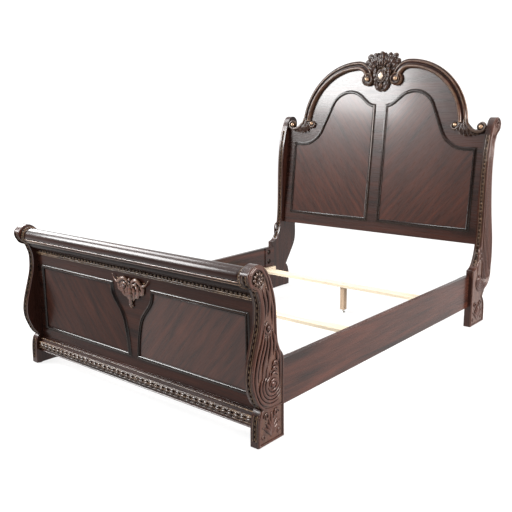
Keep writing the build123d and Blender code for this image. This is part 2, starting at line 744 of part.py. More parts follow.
def leg_bolt(y):
    """Countersunk bolt from the slat's top into its centre leg."""
    head = Pos(0, y, SLAT_TOP - LEG_BOLT_HEAD / 2) * Cone(
        LEG_BOLT_RADIUS, LEG_BOLT_HEAD_RADIUS, LEG_BOLT_HEAD
    )
    length = SLAT_THICKNESS + LEG_BOLT_DEPTH
    return head + rod((0, y, SLAT_TOP), (0, 0, -1), LEG_BOLT_RADIUS, length)


def leveller(y):
    """Levelling foot: threaded stem and a tapered pad on the floor."""
    pad = Pos(0, y, LEVELLER_PAD / 2) * Cone(LEVELLER_PAD_RADIUS, LEVELLER_PAD_RADIUS - 4, LEVELLER_PAD)
    return pad + rod((0, y, 0), (0, 0, 1), LEVELLER_STEM_RADIUS, LEVELLER_PAD + LEVELLER_STEM)


def leg_insert(y):
    """Threaded insert in the bottom of a centre leg."""
    bottom = LEG_GAP_TO_FLOOR - INSERT_FLANGE
    flange = rod((0, y, bottom), (0, 0, 1), INSERT_FLANGE_RADIUS, INSERT_FLANGE)
    barrel = rod((0, y, bottom), (0, 0, 1), INSERT_RADIUS, INSERT_FLANGE + INSERT_LENGTH)
    bore = rod((0, y, bottom), (0, 0, 1), LEVELLER_STEM_RADIUS + THREAD_CLEARANCE, LEG_BORE_DEPTH)
    return flange + barrel - bore


def centre_leg(y):
    """Square leg under the middle of a slat."""
    half = LEG_SIZE / 2
    leg = box((-half, half), (y - half, y + half), (LEG_GAP_TO_FLOOR, SLAT_SEAT))
    leg = chamfer(leg.edges().filter_by(Axis.Z), 3)
    bore = rod((0, y, LEG_GAP_TO_FLOOR), (0, 0, 1), LEVELLER_STEM_RADIUS + 0.5, LEG_BORE_DEPTH)
    return leg - bore - leg_insert(y) - leg_bolt(y)


def slat_places():
    """Position along the bed of the foot, middle and head slats."""
    first = FOOT_SLAT_FROM_FOOT
    last = RAIL_LENGTH - HEAD_SLAT_FROM_HEAD
    return {"foot": first, "middle": (first + last) / 2, "head": last}


def rail_pieces():
    """Side rails, ledgers, slats, legs and their fasteners."""
    places = rail_bolt_places()
    bolts = [rail_bolt(place) for place in places]
    pockets = [rail_pocket(place) for place in places]
    screws = {side: ledger_screws(side) for side in (-1, 1)}
    y_of = slat_places()
    top_screws = [one for y in y_of.values() for one in slat_screws(y)]
    pieces = {"rail_end_plates": end_plates(pockets)}
    for name, side in (("left", -1), ("right", 1)):
        pieces[f"{name}_side_rail"] = [side_rail(side, pockets + bolts + screws[side])]
        pieces[f"{name}_ledger"] = [ledger(side, screws[side] + top_screws)]
    for name, y in y_of.items():
        pieces[f"{name}_slat"] = [slat(y, slat_screws(y) + [leg_bolt(y)])]
        pieces[f"{name}_centre_leg"] = [centre_leg(y)]
        pieces[f"{name}_leveller"] = [leveller(y)]
    pieces["rail_bolts"] = bolts
    pieces["rail_bolt_washers"] = [rail_washer(place) for place in places]
    pieces["rail_bolt_nuts"] = [rail_nut(place) for place in places]
    pieces["wood_screws"] = screws[-1] + screws[1] + top_screws
    pieces["leg_bolts"] = [leg_bolt(y) for y in y_of.values()]
    pieces["leg_inserts"] = [leg_insert(y) for y in y_of.values()]
    return pieces


def all_pieces():
    """Every node of the bed: its name and its solids."""
    bolts = [rail_bolt(place) for place in rail_bolt_places()]
    foot_face = foot_post_face()
    head_face = head_post_face()
    pieces = {}
    foot_strips = [
        ribbon(foot_front_curve(), 0, 0.94, -BEADING_DEPTH),
        ribbon(foot_block_curve(), 0.12, 1, -BEADING_DEPTH),
    ]
    head_strips = [ribbon(head_front_curve(), 0.12, 0.98, BEADING_DEPTH)]
    for end, face, strips in (("foot", foot_face, foot_strips), ("head", head_face, head_strips)):
        board, carving = post_pieces(face, bolts)
        groups = {"post": [board], "post_carving": [carving], "post_beading": beading(strips)}
        for name, solids in groups.items():
            pieces[f"{end}board_right_{name}"] = solids
            pieces[f"{end}board_left_{name}"] = [mirror(one, about=Plane.YZ) for one in solids]
    foot_rosette = rosette(OUTER_HALF, ROLL_Y, ROLL_Z)
    pieces["footboard_rosettes"] = list(on_both_sides(foot_rosette))
    pieces.update(footboard_pieces())
    pieces.update(headboard_pieces())
    pieces.update(rail_pieces())
    foot_low = FOOT_BLOCK[-1][0]
    head_high = RAIL_LENGTH + HEAD_BLOCK[-1][0]
    pieces["post_glides"] = post_glides(foot_low, 0) + post_glides(RAIL_LENGTH, head_high)
    return pieces


def main():
    """Write one STEP file for each node, in the bed's own frame."""
    pieces = all_pieces()
    whole = Compound(children=[solid for solids in pieces.values() for one in solids
                               for solid in one.solids()])
    bounds = whole.bounding_box()
    shift = Pos(-(bounds.min.X + bounds.max.X) / 2, -(bounds.min.Y + bounds.max.Y) / 2, -bounds.min.Z)
    os.makedirs("parts", exist_ok=True)
    for name, solids in pieces.items():
        moved = [shift * solid for one in solids for solid in one.solids()]
        shape = moved[0] if len(moved) == 1 else Compound(children=moved)
        export_step(shape, f"parts/{name}.step")
    print("nodes", len(pieces), "shift", shift.position, "size", bounds.size)


main()
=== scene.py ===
"""Carved sleigh bed: its looks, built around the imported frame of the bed."""

import math
from math import cos, pi, radians, sin

import bmesh
import bpy
from mathutils import Matrix, Vector


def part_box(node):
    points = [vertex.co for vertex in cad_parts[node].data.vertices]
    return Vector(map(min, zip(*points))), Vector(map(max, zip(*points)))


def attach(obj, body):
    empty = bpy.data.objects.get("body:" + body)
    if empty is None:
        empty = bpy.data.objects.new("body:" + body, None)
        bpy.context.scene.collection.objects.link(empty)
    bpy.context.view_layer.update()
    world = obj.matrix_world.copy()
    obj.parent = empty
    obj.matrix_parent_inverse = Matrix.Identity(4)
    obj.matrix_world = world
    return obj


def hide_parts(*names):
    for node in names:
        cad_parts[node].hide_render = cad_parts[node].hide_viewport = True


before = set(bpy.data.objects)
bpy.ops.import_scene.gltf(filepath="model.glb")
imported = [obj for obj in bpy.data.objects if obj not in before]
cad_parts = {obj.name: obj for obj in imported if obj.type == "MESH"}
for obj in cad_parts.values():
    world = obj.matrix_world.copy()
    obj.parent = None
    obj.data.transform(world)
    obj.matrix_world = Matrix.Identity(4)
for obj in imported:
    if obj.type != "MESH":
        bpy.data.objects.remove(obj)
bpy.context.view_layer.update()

bl_info = {
    "name": "Sleigh Bed",
    "version": (1, 0, 0),
    "blender": (4, 5, 0),
    "location": "View3D > Sidebar > Bed",
    "description": "Builds a carved sleigh bed and the studio it stands in",
    "category": "Add Mesh",
}

# ---------------------------------------------------------------- places on the bed, in metres
RAIL_LOW, RAIL_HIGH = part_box("right_side_rail")
RAIL_FOOT = RAIL_LOW.y                    # where the rails meet the footboard posts
RAIL_HEAD = RAIL_HIGH.y                   # where they meet the headboard posts
POST_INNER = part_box("footboard_right_post")[0].x
PLATE_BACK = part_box("footboard_right_post_carving")[0].x
CARVED_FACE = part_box("footboard_right_post_carving")[1].x
PLATE_GROUND = 0.004                      # thickness of the ground left behind the carving
LEAN = radians(6.42)                      # the headboard panel leans back by this much
PANEL_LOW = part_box("headboard_panel")[0]
PANEL_THICKNESS = 0.020
HEAD_ORIGIN = Vector((0, PANEL_LOW.y, PANEL_LOW.z + PANEL_THICKNESS * sin(LEAN)))
FOOT_PANEL_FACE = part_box("footboard_panel")[0].y
ROLL_LOW, ROLL_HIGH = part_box("footboard_top_roll")
ROLL_CENTRE = (ROLL_LOW + ROLL_HIGH) / 2
ROLL_RADIUS = (ROLL_HIGH.z - ROLL_LOW.z) / 2

# the arch over the headboard, measured in its leaning plane
ARCH_CENTRE = 0.202
ARCH_SPRING = 0.750
ARCH_RADIUS = 0.456
BAND = 0.062
VOLUTE_EYE = Vector((0.113, 1.074))
CORNER_EYE = Vector((0.752, 0.753))
INNER_EYE = Vector((0.574, 0.765))


def frame_of(across, up, out, origin):
    """Place of a drawing whose three axes run these ways from this origin."""
    columns = [Vector(way).to_4d() for way in (across, up, out)]
    for column in columns:
        column.w = 0
    return Matrix((*columns, Vector(origin).to_4d())).transposed()


def head_place():
    """From (across, up the slope, out of the panel) to the bed's own frame."""
    return frame_of((1, 0, 0), (0, sin(LEAN), cos(LEAN)), (0, -cos(LEAN), sin(LEAN)), HEAD_ORIGIN)


def foot_place(face=FOOT_PANEL_FACE):
    """From (across, up, out of the footboard) to the bed's own frame."""
    return frame_of((1, 0, 0), (0, 0, 1), (0, -1, 0), (0, face, 0))


def side_place(y_start, x=PLATE_BACK + PLATE_GROUND):
    """From (along the bed, up, out of the bed's right side) to the bed's own frame."""
    return frame_of((0, 1, 0), (0, 0, 1), (1, 0, 0), (x, y_start, 0))


def rail_place(face):
    """From (up, out of the footboard, across) to the bed's own frame, for lines along a rail."""
    return frame_of((0, 0, 1), (0, -1, 0), (1, 0, 0), (0, face, 0))


# ---------------------------------------------------------------- settings
def number(name, description, default, low, high, **kind):
    """A setting that is one number."""
    return bpy.props.FloatProperty(name=name, description=description, default=default, min=low,
                                   max=high, **kind)


def length(name, description, default, low, high):
    """A length setting."""
    return number(name, description, default, low, high, unit="LENGTH")


def tone(name, description, default):
    """A colour setting."""
    return bpy.props.FloatVectorProperty(name=name, description=description, default=default,
                                         min=0, max=1, subtype="COLOR")


def power(name, description, default):
    """A setting for a light's power."""
    return number(name, description, default, 0, 5000, unit="POWER")


class BedCarving(bpy.types.PropertyGroup):
    """Sizes of the carving and of the eased edges."""

    edge: length("Eased edge", "Rounding of the boards' edges", 0.0022, 0.0005, 0.006)
    pearl_pitch: length("Pearl spacing", "Distance between pearls on the posts", 0.025, 0.015, 0.05)
    pearl_length: length("Pearl length", "Length of a pearl on the posts", 0.0185, 0.008, 0.03)
    pearl_width: length("Pearl width", "Width of a pearl on the posts", 0.0095, 0.004, 0.02)
    bead: length("Bead size", "Diameter of the beads along the footboard", 0.0165, 0.006, 0.03)
    bead_pitch: length("Bead spacing", "Distance between the beads along the footboard", 0.0252,
                       0.012, 0.05)


class BedFinish(bpy.types.PropertyGroup):
    """Colours and gloss of the bed's finishes."""

    dark: tone("Dark grain", "Stain in the dark streaks of the wood", (0.0100, 0.0043, 0.0033))
    warm: tone("Warm grain", "Stain in the light streaks of the wood", (0.047, 0.0150, 0.0092))
    rubbed: tone("Rubbed bronze", "Bronze rubbed on the high spots of the carving",
                 (0.26, 0.165, 0.095))
    pine: tone("Pine", "Bare wood of the slats", (0.60, 0.51, 0.38))
    lacquer: number("Lacquer roughness", "Lower is glossier", 0.30, 0.05, 1, subtype="FACTOR")


class BedStudio(bpy.types.PropertyGroup):
    """The studio's floor, surround and lights."""

    key: power("Key light", "Power of the large front left light", 690)
    side: power("Left light", "Power of the light beyond the left side", 330)
    front: power("Right light", "Power of the light at the front right", 740)
    overhead: number("Overhead light", "Strength of the soft light from above", 2.2, 0, 50)
    sky: number("Surround", "Brightness of the white surround", 1.15, 0, 5)
    floor: tone("Floor", "Colour of the floor", (0.92, 0.92, 0.92))


# ---------------------------------------------------------------- modelling by hand
def deselect():
    """Leave edit mode with nothing selected."""
    if bpy.context.object and bpy.context.object.mode != "OBJECT":
        bpy.ops.object.mode_set(mode="OBJECT")
    bpy.ops.object.select_all(action="DESELECT")


def pick(piece):
    """Make piece the only selected object."""
    deselect()
    piece.select_set(True)
    bpy.context.view_layer.objects.active = piece


def smooth(piece, angle):
    """Shade piece smooth, with creases kept above angle."""
    pick(piece)
    bpy.ops.object.shade_smooth_by_angle(angle=radians(angle))


def outwards(piece):
    """Merge doubled points and face every shell outwards."""
    pick(piece)
    bpy.ops.object.mode_set(mode="EDIT")
    bpy.ops.mesh.select_all(action="SELECT")
    bpy.ops.mesh.remove_doubles(threshold=1e-6)
    bpy.ops.mesh.normals_make_consistent(inside=False)
    bpy.ops.object.mode_set(mode="OBJECT")


def settle(piece, place=None):
    """Move piece by place, and put its position and size into its mesh."""
    pick(piece)
    if place is not None:
        piece.matrix_world = place @ piece.matrix_world
    bpy.ops.object.transform_apply(location=True, rotation=True, scale=True)


def join(pieces, name):
    """Join pieces into the first of them."""
    deselect()
    for piece in pieces:
        piece.select_set(True)
    bpy.context.view_layer.objects.active = pieces[0]
    if len(pieces) > 1:
        bpy.ops.object.join()
    pieces[0].name = pieces[0].data.name = name
    return pieces[0]


def duplicate(piece, name):
    """A copy of piece with its own mesh."""
    pick(piece)
    bpy.ops.object.duplicate()
    copy = bpy.context.object
    copy.name = copy.data.name = name
    return copy


def mirrored(piece, name):
    """The left hand twin of a right hand piece."""
    twin = duplicate(piece, name)
    twin.scale.x = -1
    settle(twin)
    outwards(twin)
    return twin


def merged_copy(node, name):
    """A CAD node's shape as a new piece, with its triangles merged into whole faces."""
    piece = bpy.data.objects.new(name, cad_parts[node].data.copy())
    bpy.context.scene.collection.objects.link(piece)
    piece.data.materials.clear()
    pick(piece)
    bpy.ops.object.mode_set(mode="EDIT")
    bpy.ops.mesh.select_all(action="SELECT")
    bpy.ops.mesh.remove_doubles(threshold=2e-5)
    bpy.ops.mesh.dissolve_limited(angle_limit=radians(1))
    bpy.ops.object.mode_set(mode="OBJECT")
    return piece


def apply(piece, kind, **settings):
    """Add a modifier with these settings and apply it."""
    pick(piece)
    modifier = piece.modifiers.new(kind.title(), kind)
    for key, value in settings.items():
        setattr(modifier, key, value)
    bpy.ops.object.modifier_apply(modifier=modifier.name)


def eased(node, name, width):
    """A board's shape from the CAD with its sharp edges rounded."""
    piece = merged_copy(node, name)
    apply(piece, "BEVEL", width=width, segments=2, limit_method="ANGLE",
          angle_limit=radians(35), use_clamp_overlap=True)
    smooth(piece, 30)
    apply(piece, "WEIGHTED_NORMAL", weight=100, keep_sharp=True)
    return piece


def ball(place, centre, radius, flat=1.0, stretch=1.0, rings=10):
    """A ball that is pressed flatter, or stretched along its second axis."""
    deselect()
    bpy.ops.mesh.primitive_uv_sphere_add(
        segments=rings * 2, ring_count=rings, radius=radius, location=centre)
    piece = bpy.context.object
    piece.scale = (1, stretch, flat)
    settle(piece, place)
    return piece


def turned(profile, centre, name, axis="X", steps=64):
    """A turned shape: profile is (distance along the axis, radius), from axis to axis."""
    deselect()
    bpy.ops.mesh.primitive_plane_add(size=1, location=(0, 0, 0))
    piece = bpy.context.object
    bpy.ops.object.mode_set(mode="EDIT")
    edit = bmesh.from_edit_mesh(piece.data)
    bmesh.ops.delete(edit, geom=list(edit.verts), context="VERTS")
    chain = [edit.verts.new((along, 0, radius)) for along, radius in profile]
    for start, end in zip(chain, chain[1:]):
        edit.edges.new((start, end))
    bmesh.update_edit_mesh(piece.data)
    bpy.ops.mesh.select_all(action="SELECT")
    bpy.ops.mesh.spin(steps=steps, angle=2 * pi, center=(0, 0, 0), axis=(1, 0, 0))
    bpy.ops.object.mode_set(mode="OBJECT")
    outwards(piece)
    piece.name = piece.data.name = name
    if axis == "Z":
        piece.rotation_euler = (0, -pi / 2, 0)
    piece.location = centre
    settle(piece)
    outwards(piece)
    return piece


def new_curve(dimensions):
    """An empty curve."""
    deselect()
    bpy.ops.curve.primitive_bezier_curve_add(location=(0, 0, 0))
    piece = bpy.context.object
    piece.data.splines.clear()
    piece.data.dimensions = dimensions
    return piece


def as_mesh(curve, place, name, flat=1.0):
    """Turn a curve into a closed mesh, pressed flatter and then moved by place."""
    pick(curve)
    bpy.ops.object.convert(target="MESH")
    piece = bpy.context.object
    piece.scale = (1, 1, flat)
    settle(piece)
    settle(piece, place)
    outwards(piece)
    piece.name = piece.data.name = name
    return piece


def strands(lines, place, name, flat=0.8, sides=3, smoothness=5, closed=False):
    """Carved strands: each line lists the (across, up, out, radius) of a tapered rod."""
    piece = new_curve("3D")
    curve = piece.data
    curve.resolution_u = smoothness
    curve.bevel_depth = 1.0
    curve.bevel_resolution = sides
    curve.use_fill_caps = not closed
    for line in lines:
        spline = curve.splines.new("BEZIER")
        spline.bezier_points.add(len(line) - 1)
        spline.radius_interpolation = "EASE"
        spline.use_cyclic_u = closed
        for point, (across, up, out, radius) in zip(spline.bezier_points, line):
            point.co = (across, up, out / flat)
            point.handle_left_type = point.handle_right_type = "AUTO"
            point.radius = max(radius, 0.0002)
    return as_mesh(piece, place, name, flat)


def swept(section, path, place, name, closed=False):
    """A moulding: section (across the path, out of the plane) follows path (across, up, size)."""
    rail = new_curve("2D")
    outline = rail.data.splines.new("POLY")
    outline.points.add(len(section) - 1)
    outline.use_cyclic_u = True
    for point, (across, out) in zip(outline.points, section):
        point.co = (across, out, 0, 1)
    piece = new_curve("2D")
    curve = piece.data
    curve.fill_mode = "NONE"
    curve.bevel_mode = "OBJECT"
    curve.bevel_object = rail
    curve.use_fill_caps = not closed
    line = curve.splines.new("POLY")
    line.points.add(len(path) - 1)
    line.use_cyclic_u = closed
    for point, (across, up, size) in zip(line.points, path):
        point.co = (across, up, 0, 1)
        point.radius = size
    made = as_mesh(piece, place, name)
    bpy.data.objects.remove(rail)
    return made


def blade(spine, width, place, lobes, curl, along=22, across=12):
    """A carved leaf with lobed edges: spine is (across, up, out) from its root to its tip."""
    deselect()
    bpy.ops.mesh.primitive_grid_add(x_subdivisions=along, y_subdivisions=across, size=2)
    piece = bpy.context.object
    points = [Vector(point) for point in spine]
    for vertex in piece.data.vertices:
        share = (vertex.co.x + 1) / 2
        side = vertex.co.y
        here, way = along_curve(points, share)
        across_way = Vector((-way.y, way.x, 0)).normalized()
        scallop = 1 + 0.17 * (1 - share ** 3) * cos(2 * pi * (lobes * share - 0.35))
        blunt = (1 - max(0.0, (share - 0.55) / 0.455) ** 2.4) ** 0.5
        half = width * min(1.0, 0.45 + 1.5 * share) * blunt * scallop
        vein = 0.20 * math.exp(-(side / 0.13) ** 2)
        ribs = 0.07 * cos(2 * pi * (lobes * share - 0.35) + 2.6 * abs(side))
        arch = (1 - abs(side) ** 2.4) * 0.5 - vein + ribs * abs(side)
        tip = curl * max(0.0, (share - 0.62) / 0.38) ** 2
        spot = here + across_way * (side * half)
        vertex.co = (spot.x, spot.y, here.z + half * arch + tip)
    apply(piece, "SOLIDIFY", thickness=0.0045, offset=-1)
    outwards(piece)
    settle(piece, place)
    outwards(piece)
    return piece


def stud(profile, eye, place, steps=64):
    """A turned button that stands on a carved face at eye."""
    piece = turned(profile, (0, 0, 0), "stud", axis="Z", steps=steps)
    piece.location = (eye.x, eye.y, 0)
    settle(piece)
    settle(piece, place)
    return piece


def straight(spots, half):
    """Straight strands across the bed: each spot gives two places and a radius."""
    return [[(first, second, x, size) for x in (-half, 0, half)] for first, second, size in spots]


def along_curve(points, share):
    """Place and direction at a share of the way along a smooth line through points."""
    last = len(points) - 1
    i = min(int(share * last), last - 1)
    local = share * last - i
    before = points[max(i - 1, 0)]
    start, end = points[i], points[i + 1]
    after = points[min(i + 2, last)]
    rise, fall = (end - before) / 2, (after - start) / 2
    a, b = local * local, local * local * local
    place = (2 * b - 3 * a + 1) * start + (b - 2 * a + local) * rise
    place += (3 * a - 2 * b) * end + (b - a) * fall
    way = (6 * a - 6 * local) * start + (3 * a - 4 * local + 1) * rise
    way += (6 * local - 6 * a) * end + (3 * a - 2 * local) * fall
    return place, way.normalized()


def mm(points):
    """Points that are given in millimetres."""
    return [tuple(value / 1000 for value in point) for point in points]


def both_blades(spines, place, level=float):
    """Leaves on the right, and their mirror images on the left, from spines in millimetres."""
    pieces = []
    for way in (1, -1):
        for spine, width, lobes, curl in spines:
            line = [(way * x, level(z), out) for x, z, out in mm(spine)]
            pieces.append(blade(line, width / 1000, place, lobes, curl / 1000))
    return pieces


def arc(centre, radius, start, end, count):
    """Points on an arc, angles in degrees."""
    return [
        (centre[0] + radius * cos(radians(start + (end - start) * i / count)),
         centre[1] + radius * sin(radians(start + (end - start) * i / count)))
        for i in range(count + 1)
    ]


def hoop(centre, wide, tall, out, thick, count):
    """Points round an oval ring, with the radius of the strand that follows it."""
    turns = [2 * pi * i / count for i in range(count)]
    return [(centre[0] + wide * cos(a), centre[1] + tall * sin(a), out, thick) for a in turns]


def spiral(eye, start_radius, end_radius, start, end, count, squash=1.0):
    """Points that wind in on eye, angles in degrees."""
    points = []
    for i in range(count + 1):
        share = i / count
        radius = start_radius * (end_radius / start_radius) ** share
        angle = radians(start + (end - start) * share)
        points.append((eye[0] + radius * cos(angle), eye[1] + radius * sin(angle) * squash))
    return points


def tapered(points, thick, out=0.0, ends=(0.25, 0.1), belly=0.45, rise=0.0):
    """Give each point a radius that swells to thick at belly and thins to the ends."""
    line = []
    last = len(points) - 1
    for i, (across, up) in enumerate(points):
        share = i / last
        if share < belly:
            size = ends[0] + (1 - ends[0]) * sin(share / belly * pi / 2)
        else:
            size = ends[1] + (1 - ends[1]) * cos((share - belly) / (1 - belly) * pi / 2)
        line.append((across, up, out + rise * sin(share * pi), thick * size))
    return line


def outline_of(node_name, place):
    """Ordered outer outline of a node's flat face that lies in the plane of place."""
    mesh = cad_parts[node_name].data
    back = place.inverted()
    flat = [back @ vertex.co for vertex in mesh.vertices]
    edges = {}
    for polygon in mesh.polygons:
        corners = [flat[i] for i in polygon.vertices]
        if all(abs(point.z) < 4e-5 for point in corners):
            names = [(round(point.x, 5), round(point.y, 5)) for point in corners]
            for start, end in zip(names, names[1:] + names[:1]):
                edge = frozenset((start, end))
                edges[edge] = edges.get(edge, 0) + 1
    links = {}
    for edge, count in edges.items():
        if count == 1 and len(edge) == 2:
            start, end = edge
            links.setdefault(start, []).append(end)
            links.setdefault(end, []).append(start)
    loops = []
    while links:
        here = next(iter(links))
        loop = []
        while here in links:
            loop.append(here)
            onward = [point for point in links.pop(here) if point in links]
            here = onward[0] if onward else None
        loops.append([Vector(point) for point in loop])
    best = max(loops, key=lambda loop: abs(area_of(loop)))
    if area_of(best) < 0:
        best.reverse()
    return best


def area_of(loop):
    """Area inside an outline, positive when it runs anticlockwise."""
    return sum(a.x * b.y - b.x * a.y for a, b in zip(loop, loop[1:] + loop[:1])) / 2


def cleaned(loop):
    """The outline without points that lie on straight runs or crowd each other."""
    kept = [loop[0]]
    for point in loop[1:]:
        if (point - kept[-1]).length > 0.0015:
            kept.append(point)
    result = []
    for before, here, after in zip(kept[-1:] + kept, kept, kept[1:] + kept[:1]):
        if (here - before).angle(after - here, 0) > radians(0.3):
            result.append(here)
    return result


def resampled(points, pitch):
    """Points along an open line, about pitch apart and evenly spaced."""
    lengths = [0.0]
    for a, b in zip(points, points[1:]):
        lengths.append(lengths[-1] + (b - a).length)
    count = max(2, round(lengths[-1] / pitch))
    spaced, i = [], 0
    for step in range(count + 1):
        wanted = lengths[-1] * step / count
        while i < len(points) - 2 and lengths[i + 1] < wanted:
            i += 1
        share = (wanted - lengths[i]) / max(1e-9, lengths[i + 1] - lengths[i])
        spaced.append(points[i].lerp(points[i + 1], min(1.0, share)))
    return spaced


# ---------------------------------------------------------------- finishes
def feed(tree, made, values):
    """Give a shader node's inputs their values, or the sockets that feed them."""
    for key, value in values.items():
        if isinstance(value, bpy.types.NodeSocket):
            tree.links.new(value, made.inputs[key])
        else:
            made.inputs[key].default_value = value


def node(tree, kind, values=None, **settings):
    """Add a shader node with these inputs and settings."""
    made = tree.nodes.new("ShaderNode" + kind)
    for key, value in settings.items():
        setattr(made, key, value)
    feed(tree, made, values or {})
    return made


def ranged(tree, value, low, high, to_low=0.0, to_high=1.0):
    """Stretch value from one range to another."""
    return node(tree, "MapRange", {"Value": value, "From Min": low, "From Max": high,
                                   "To Min": to_low, "To Max": to_high}).outputs[0]


def times(tree, a, b, clamp=False):
    """Multiply two values."""
    return node(tree, "Math", {0: a, 1: b}, operation="MULTIPLY", use_clamp=clamp).outputs[0]


def mixed(tree, share, a, b, blend="MIX"):
    """Mix two colours."""
    return node(tree, "Mix", {"Factor": share, "A": a, "B": b}, data_type="RGBA",
                blend_type=blend).outputs["Result"]


def noise(tree, vector, scale, detail, rough, twist=0.0):
    """Cloudy noise."""
    return node(tree, "TexNoise", {"Vector": vector, "Scale": scale, "Detail": detail,
                                   "Roughness": rough, "Distortion": twist}).outputs["Fac"]


def group(name, inputs, outputs, build):
    """The shader node group of this name, built when it is first asked for."""
    if name not in bpy.data.node_groups:
        tree = bpy.data.node_groups.new(name, "ShaderNodeTree")
        for way, sockets in (("INPUT", inputs), ("OUTPUT", outputs)):
            for label, kind in sockets.items():
                tree.interface.new_socket(label, in_out=way, socket_type="NodeSocket" + kind)
        given = tree.nodes.new("NodeGroupInput").outputs
        result = tree.nodes.new("NodeGroupOutput").inputs
        for label, socket in build(tree, given).items():
            tree.links.new(socket, result[label])
    return bpy.data.node_groups[name]


def grain(tree, given):
    """Wood grain that runs along the first axis of its vector."""
    size = node(tree, "VectorMath", {0: given["Vector"], "Scale": given["Width"]},
                operation="SCALE")
    runs = [node(tree, "Mapping", {"Vector": size.outputs[0], "Scale": scale}).outputs[0]
            for scale in ((1.3, 16, 16), (7, 190, 190))]
    streak = ranged(tree, noise(tree, runs[0], 1.0, 5.0, 0.6, 0.6), 0.32, 0.70)
    pores = ranged(tree, noise(tree, runs[1], 1.0, 4.0, 0.7), 0.34, 0.58)
    stain = mixed(tree, times(tree, streak, given["Figure"]), given["Dark"], given["Light"])
    tint = ranged(tree, pores, 0.0, 1.0, 0.72, 1.05)
    return {"Color": mixed(tree, 1.0, stain, tint, "MULTIPLY"),
            "Roughness": ranged(tree, pores, 0.0, 1.0, 0.33, 0.26), "Height": pores}


def rubbed(tree, given):
    """Bronze rubbed on high spots, and painted shade darkening the hollows, found by ambient
    occlusion.
    """
    high = ranged(tree, node(tree, "NewGeometry").outputs["Pointiness"], 0.515, 0.64)
    # Ambient occlusion finds the hollows, which are darkened below: painted shade.
    hollow = node(tree, "AmbientOcclusion", {"Distance": given["Reach"]}, samples=6)
    open_part = ranged(tree, hollow.outputs["AO"], 0.45, 0.95)
    patch = noise(tree, node(tree, "TexCoord").outputs["Object"], 38.0, 3.0, 0.6)
    touched = times(tree, times(tree, high, open_part), ranged(tree, patch, 0.36, 0.62, 0.25))
    mask = times(tree, touched, given["Rub"], True)
    shade = ranged(tree, open_part, 0.0, 1.0, 0.18)
    shaded_tint = mixed(tree, given["Hollow Shade"], given["Color"], shade, "MULTIPLY")
    return {"Color": mixed(tree, mask, shaded_tint, given["Bronze"])}


def grain_node(tree, vector, dark, light, figure, width=1.0):
    """Wood grain between two colours."""
    made = group("Wood Grain", {"Vector": "Vector", "Dark": "Color", "Light": "Color",
                                "Figure": "Float", "Width": "Float"},
                 {"Color": "Color", "Roughness": "Float", "Height": "Float"}, grain)
    return node(tree, "Group", {"Vector": vector, "Dark": dark, "Light": light, "Figure": figure,
                                "Width": width}, node_tree=made).outputs


GRAIN_TURN = {"x": (0, 0, 0), "y": (0, 0, -pi / 2), "z": (0, pi / 2, 0)}


def colour(value, share=1.0):
    """Four channels from a colour setting."""
    return (value[0] * share, value[1] * share, value[2] * share, 1.0)


def material(name, slot, values):
    """A new material, and the slot that it shows, with values for its shader."""
    made = bpy.data.materials.new(name)
    made.use_nodes = True
    made["slot"] = slot
    tree = made.node_tree
    feed(tree, tree.nodes["Principled BSDF"], values(tree))
    return made


def relief(tree, height, strength):
    """A fine bump."""
    return node(tree, "Bump", {"Height": height, "Strength": strength,
                               "Distance": 0.0006}).outputs[0]


def wood(name, slot, along, dark=1.0, warm=1.0, figure=0.8, rub=0.0, hollow_shade=0.0, reach=0.012,
         veneer=None, bump=0.06, gloss=0.20):
    """Stained and lacquered wood whose grain runs along an axis, or at an angle in a V."""
    if name in bpy.data.materials:
        return bpy.data.materials[name]
    finish = bpy.context.scene.bed_finish

    def values(tree):
        source = node(tree, "TexCoord").outputs["Object"]
        turn = GRAIN_TURN[along]
        if veneer is not None:
            split = node(tree, "SeparateXYZ", {0: source}).outputs
            half = node(tree, "Math", {0: split["X"]}, operation="ABSOLUTE")
            both = node(tree, "CombineXYZ", {"X": half.outputs[0], "Z": split["Z"]})
            source = both.outputs[0]
            turn = (0, radians(veneer), 0)
        run = node(tree, "Mapping", {"Vector": source, "Rotation": turn}).outputs[0]
        lines = grain_node(tree, run, colour(finish.dark, dark), colour(finish.warm, warm), figure,
                           1.0 if veneer is None else 2.3)
        tint = lines["Color"]
        # Bronze on the high spots, and painted shade in the hollows.
        if rub or hollow_shade:
            made = group("Rubbed Carving", {"Color": "Color", "Bronze": "Color", "Rub": "Float",
                                            "Hollow Shade": "Float", "Reach": "Float"},
                         {"Color": "Color"}, rubbed)
            tint = node(tree, "Group", {"Color": tint, "Bronze": colour(finish.rubbed), "Rub": rub,
                                        "Hollow Shade": hollow_shade, "Reach": reach}, node_tree=made).outputs[0]
        return {"Base Color": tint, "Roughness": lines["Roughness"],
                "Normal": relief(tree, lines["Height"], bump), "Specular IOR Level": gloss,
                "Coat Weight": gloss, "Coat Roughness": finish.lacquer * 0.4}

    return material(name, slot, values)


def carved(name="Rubbed carving", rub=0.45):
    """Dark carved wood with bronze on its high spots and painted shade in its hollows."""
    return wood(name, "rubbed_carving", "x", dark=1.2, warm=0.9, figure=0.5, rub=rub, hollow_shade=0.9)


def plain(name, slot, base, roughness, metallic, speck, scale):
    """A plain finish whose colour and roughness vary a little."""
    def values(tree):
        cloud = noise(tree, node(tree, "TexCoord").outputs["Object"], scale, 4.0, 0.6)
        return {"Base Color": mixed(tree, cloud, colour(base, 1 - speck), colour(base, 1 + speck)),
                "Roughness": ranged(tree, cloud, 0.0, 1.0, roughness * 0.85, roughness * 1.15),
                "Metallic": metallic}

    return material(name, slot, values)


def raw_wood(name, slot, base, along):
    """Bare planed wood."""
    def values(tree):
        run = node(tree, "Mapping", {"Vector": node(tree, "TexCoord").outputs["Object"],
                                     "Rotation": GRAIN_TURN[along]})
        lines = grain_node(tree, run.outputs[0], colour(base, 0.78), colour(base, 1.08), 0.9)
        return {"Base Color": lines["Color"], "Roughness": 0.62,
                "Normal": relief(tree, lines["Height"], 0.12)}

    return material(name, slot, values)


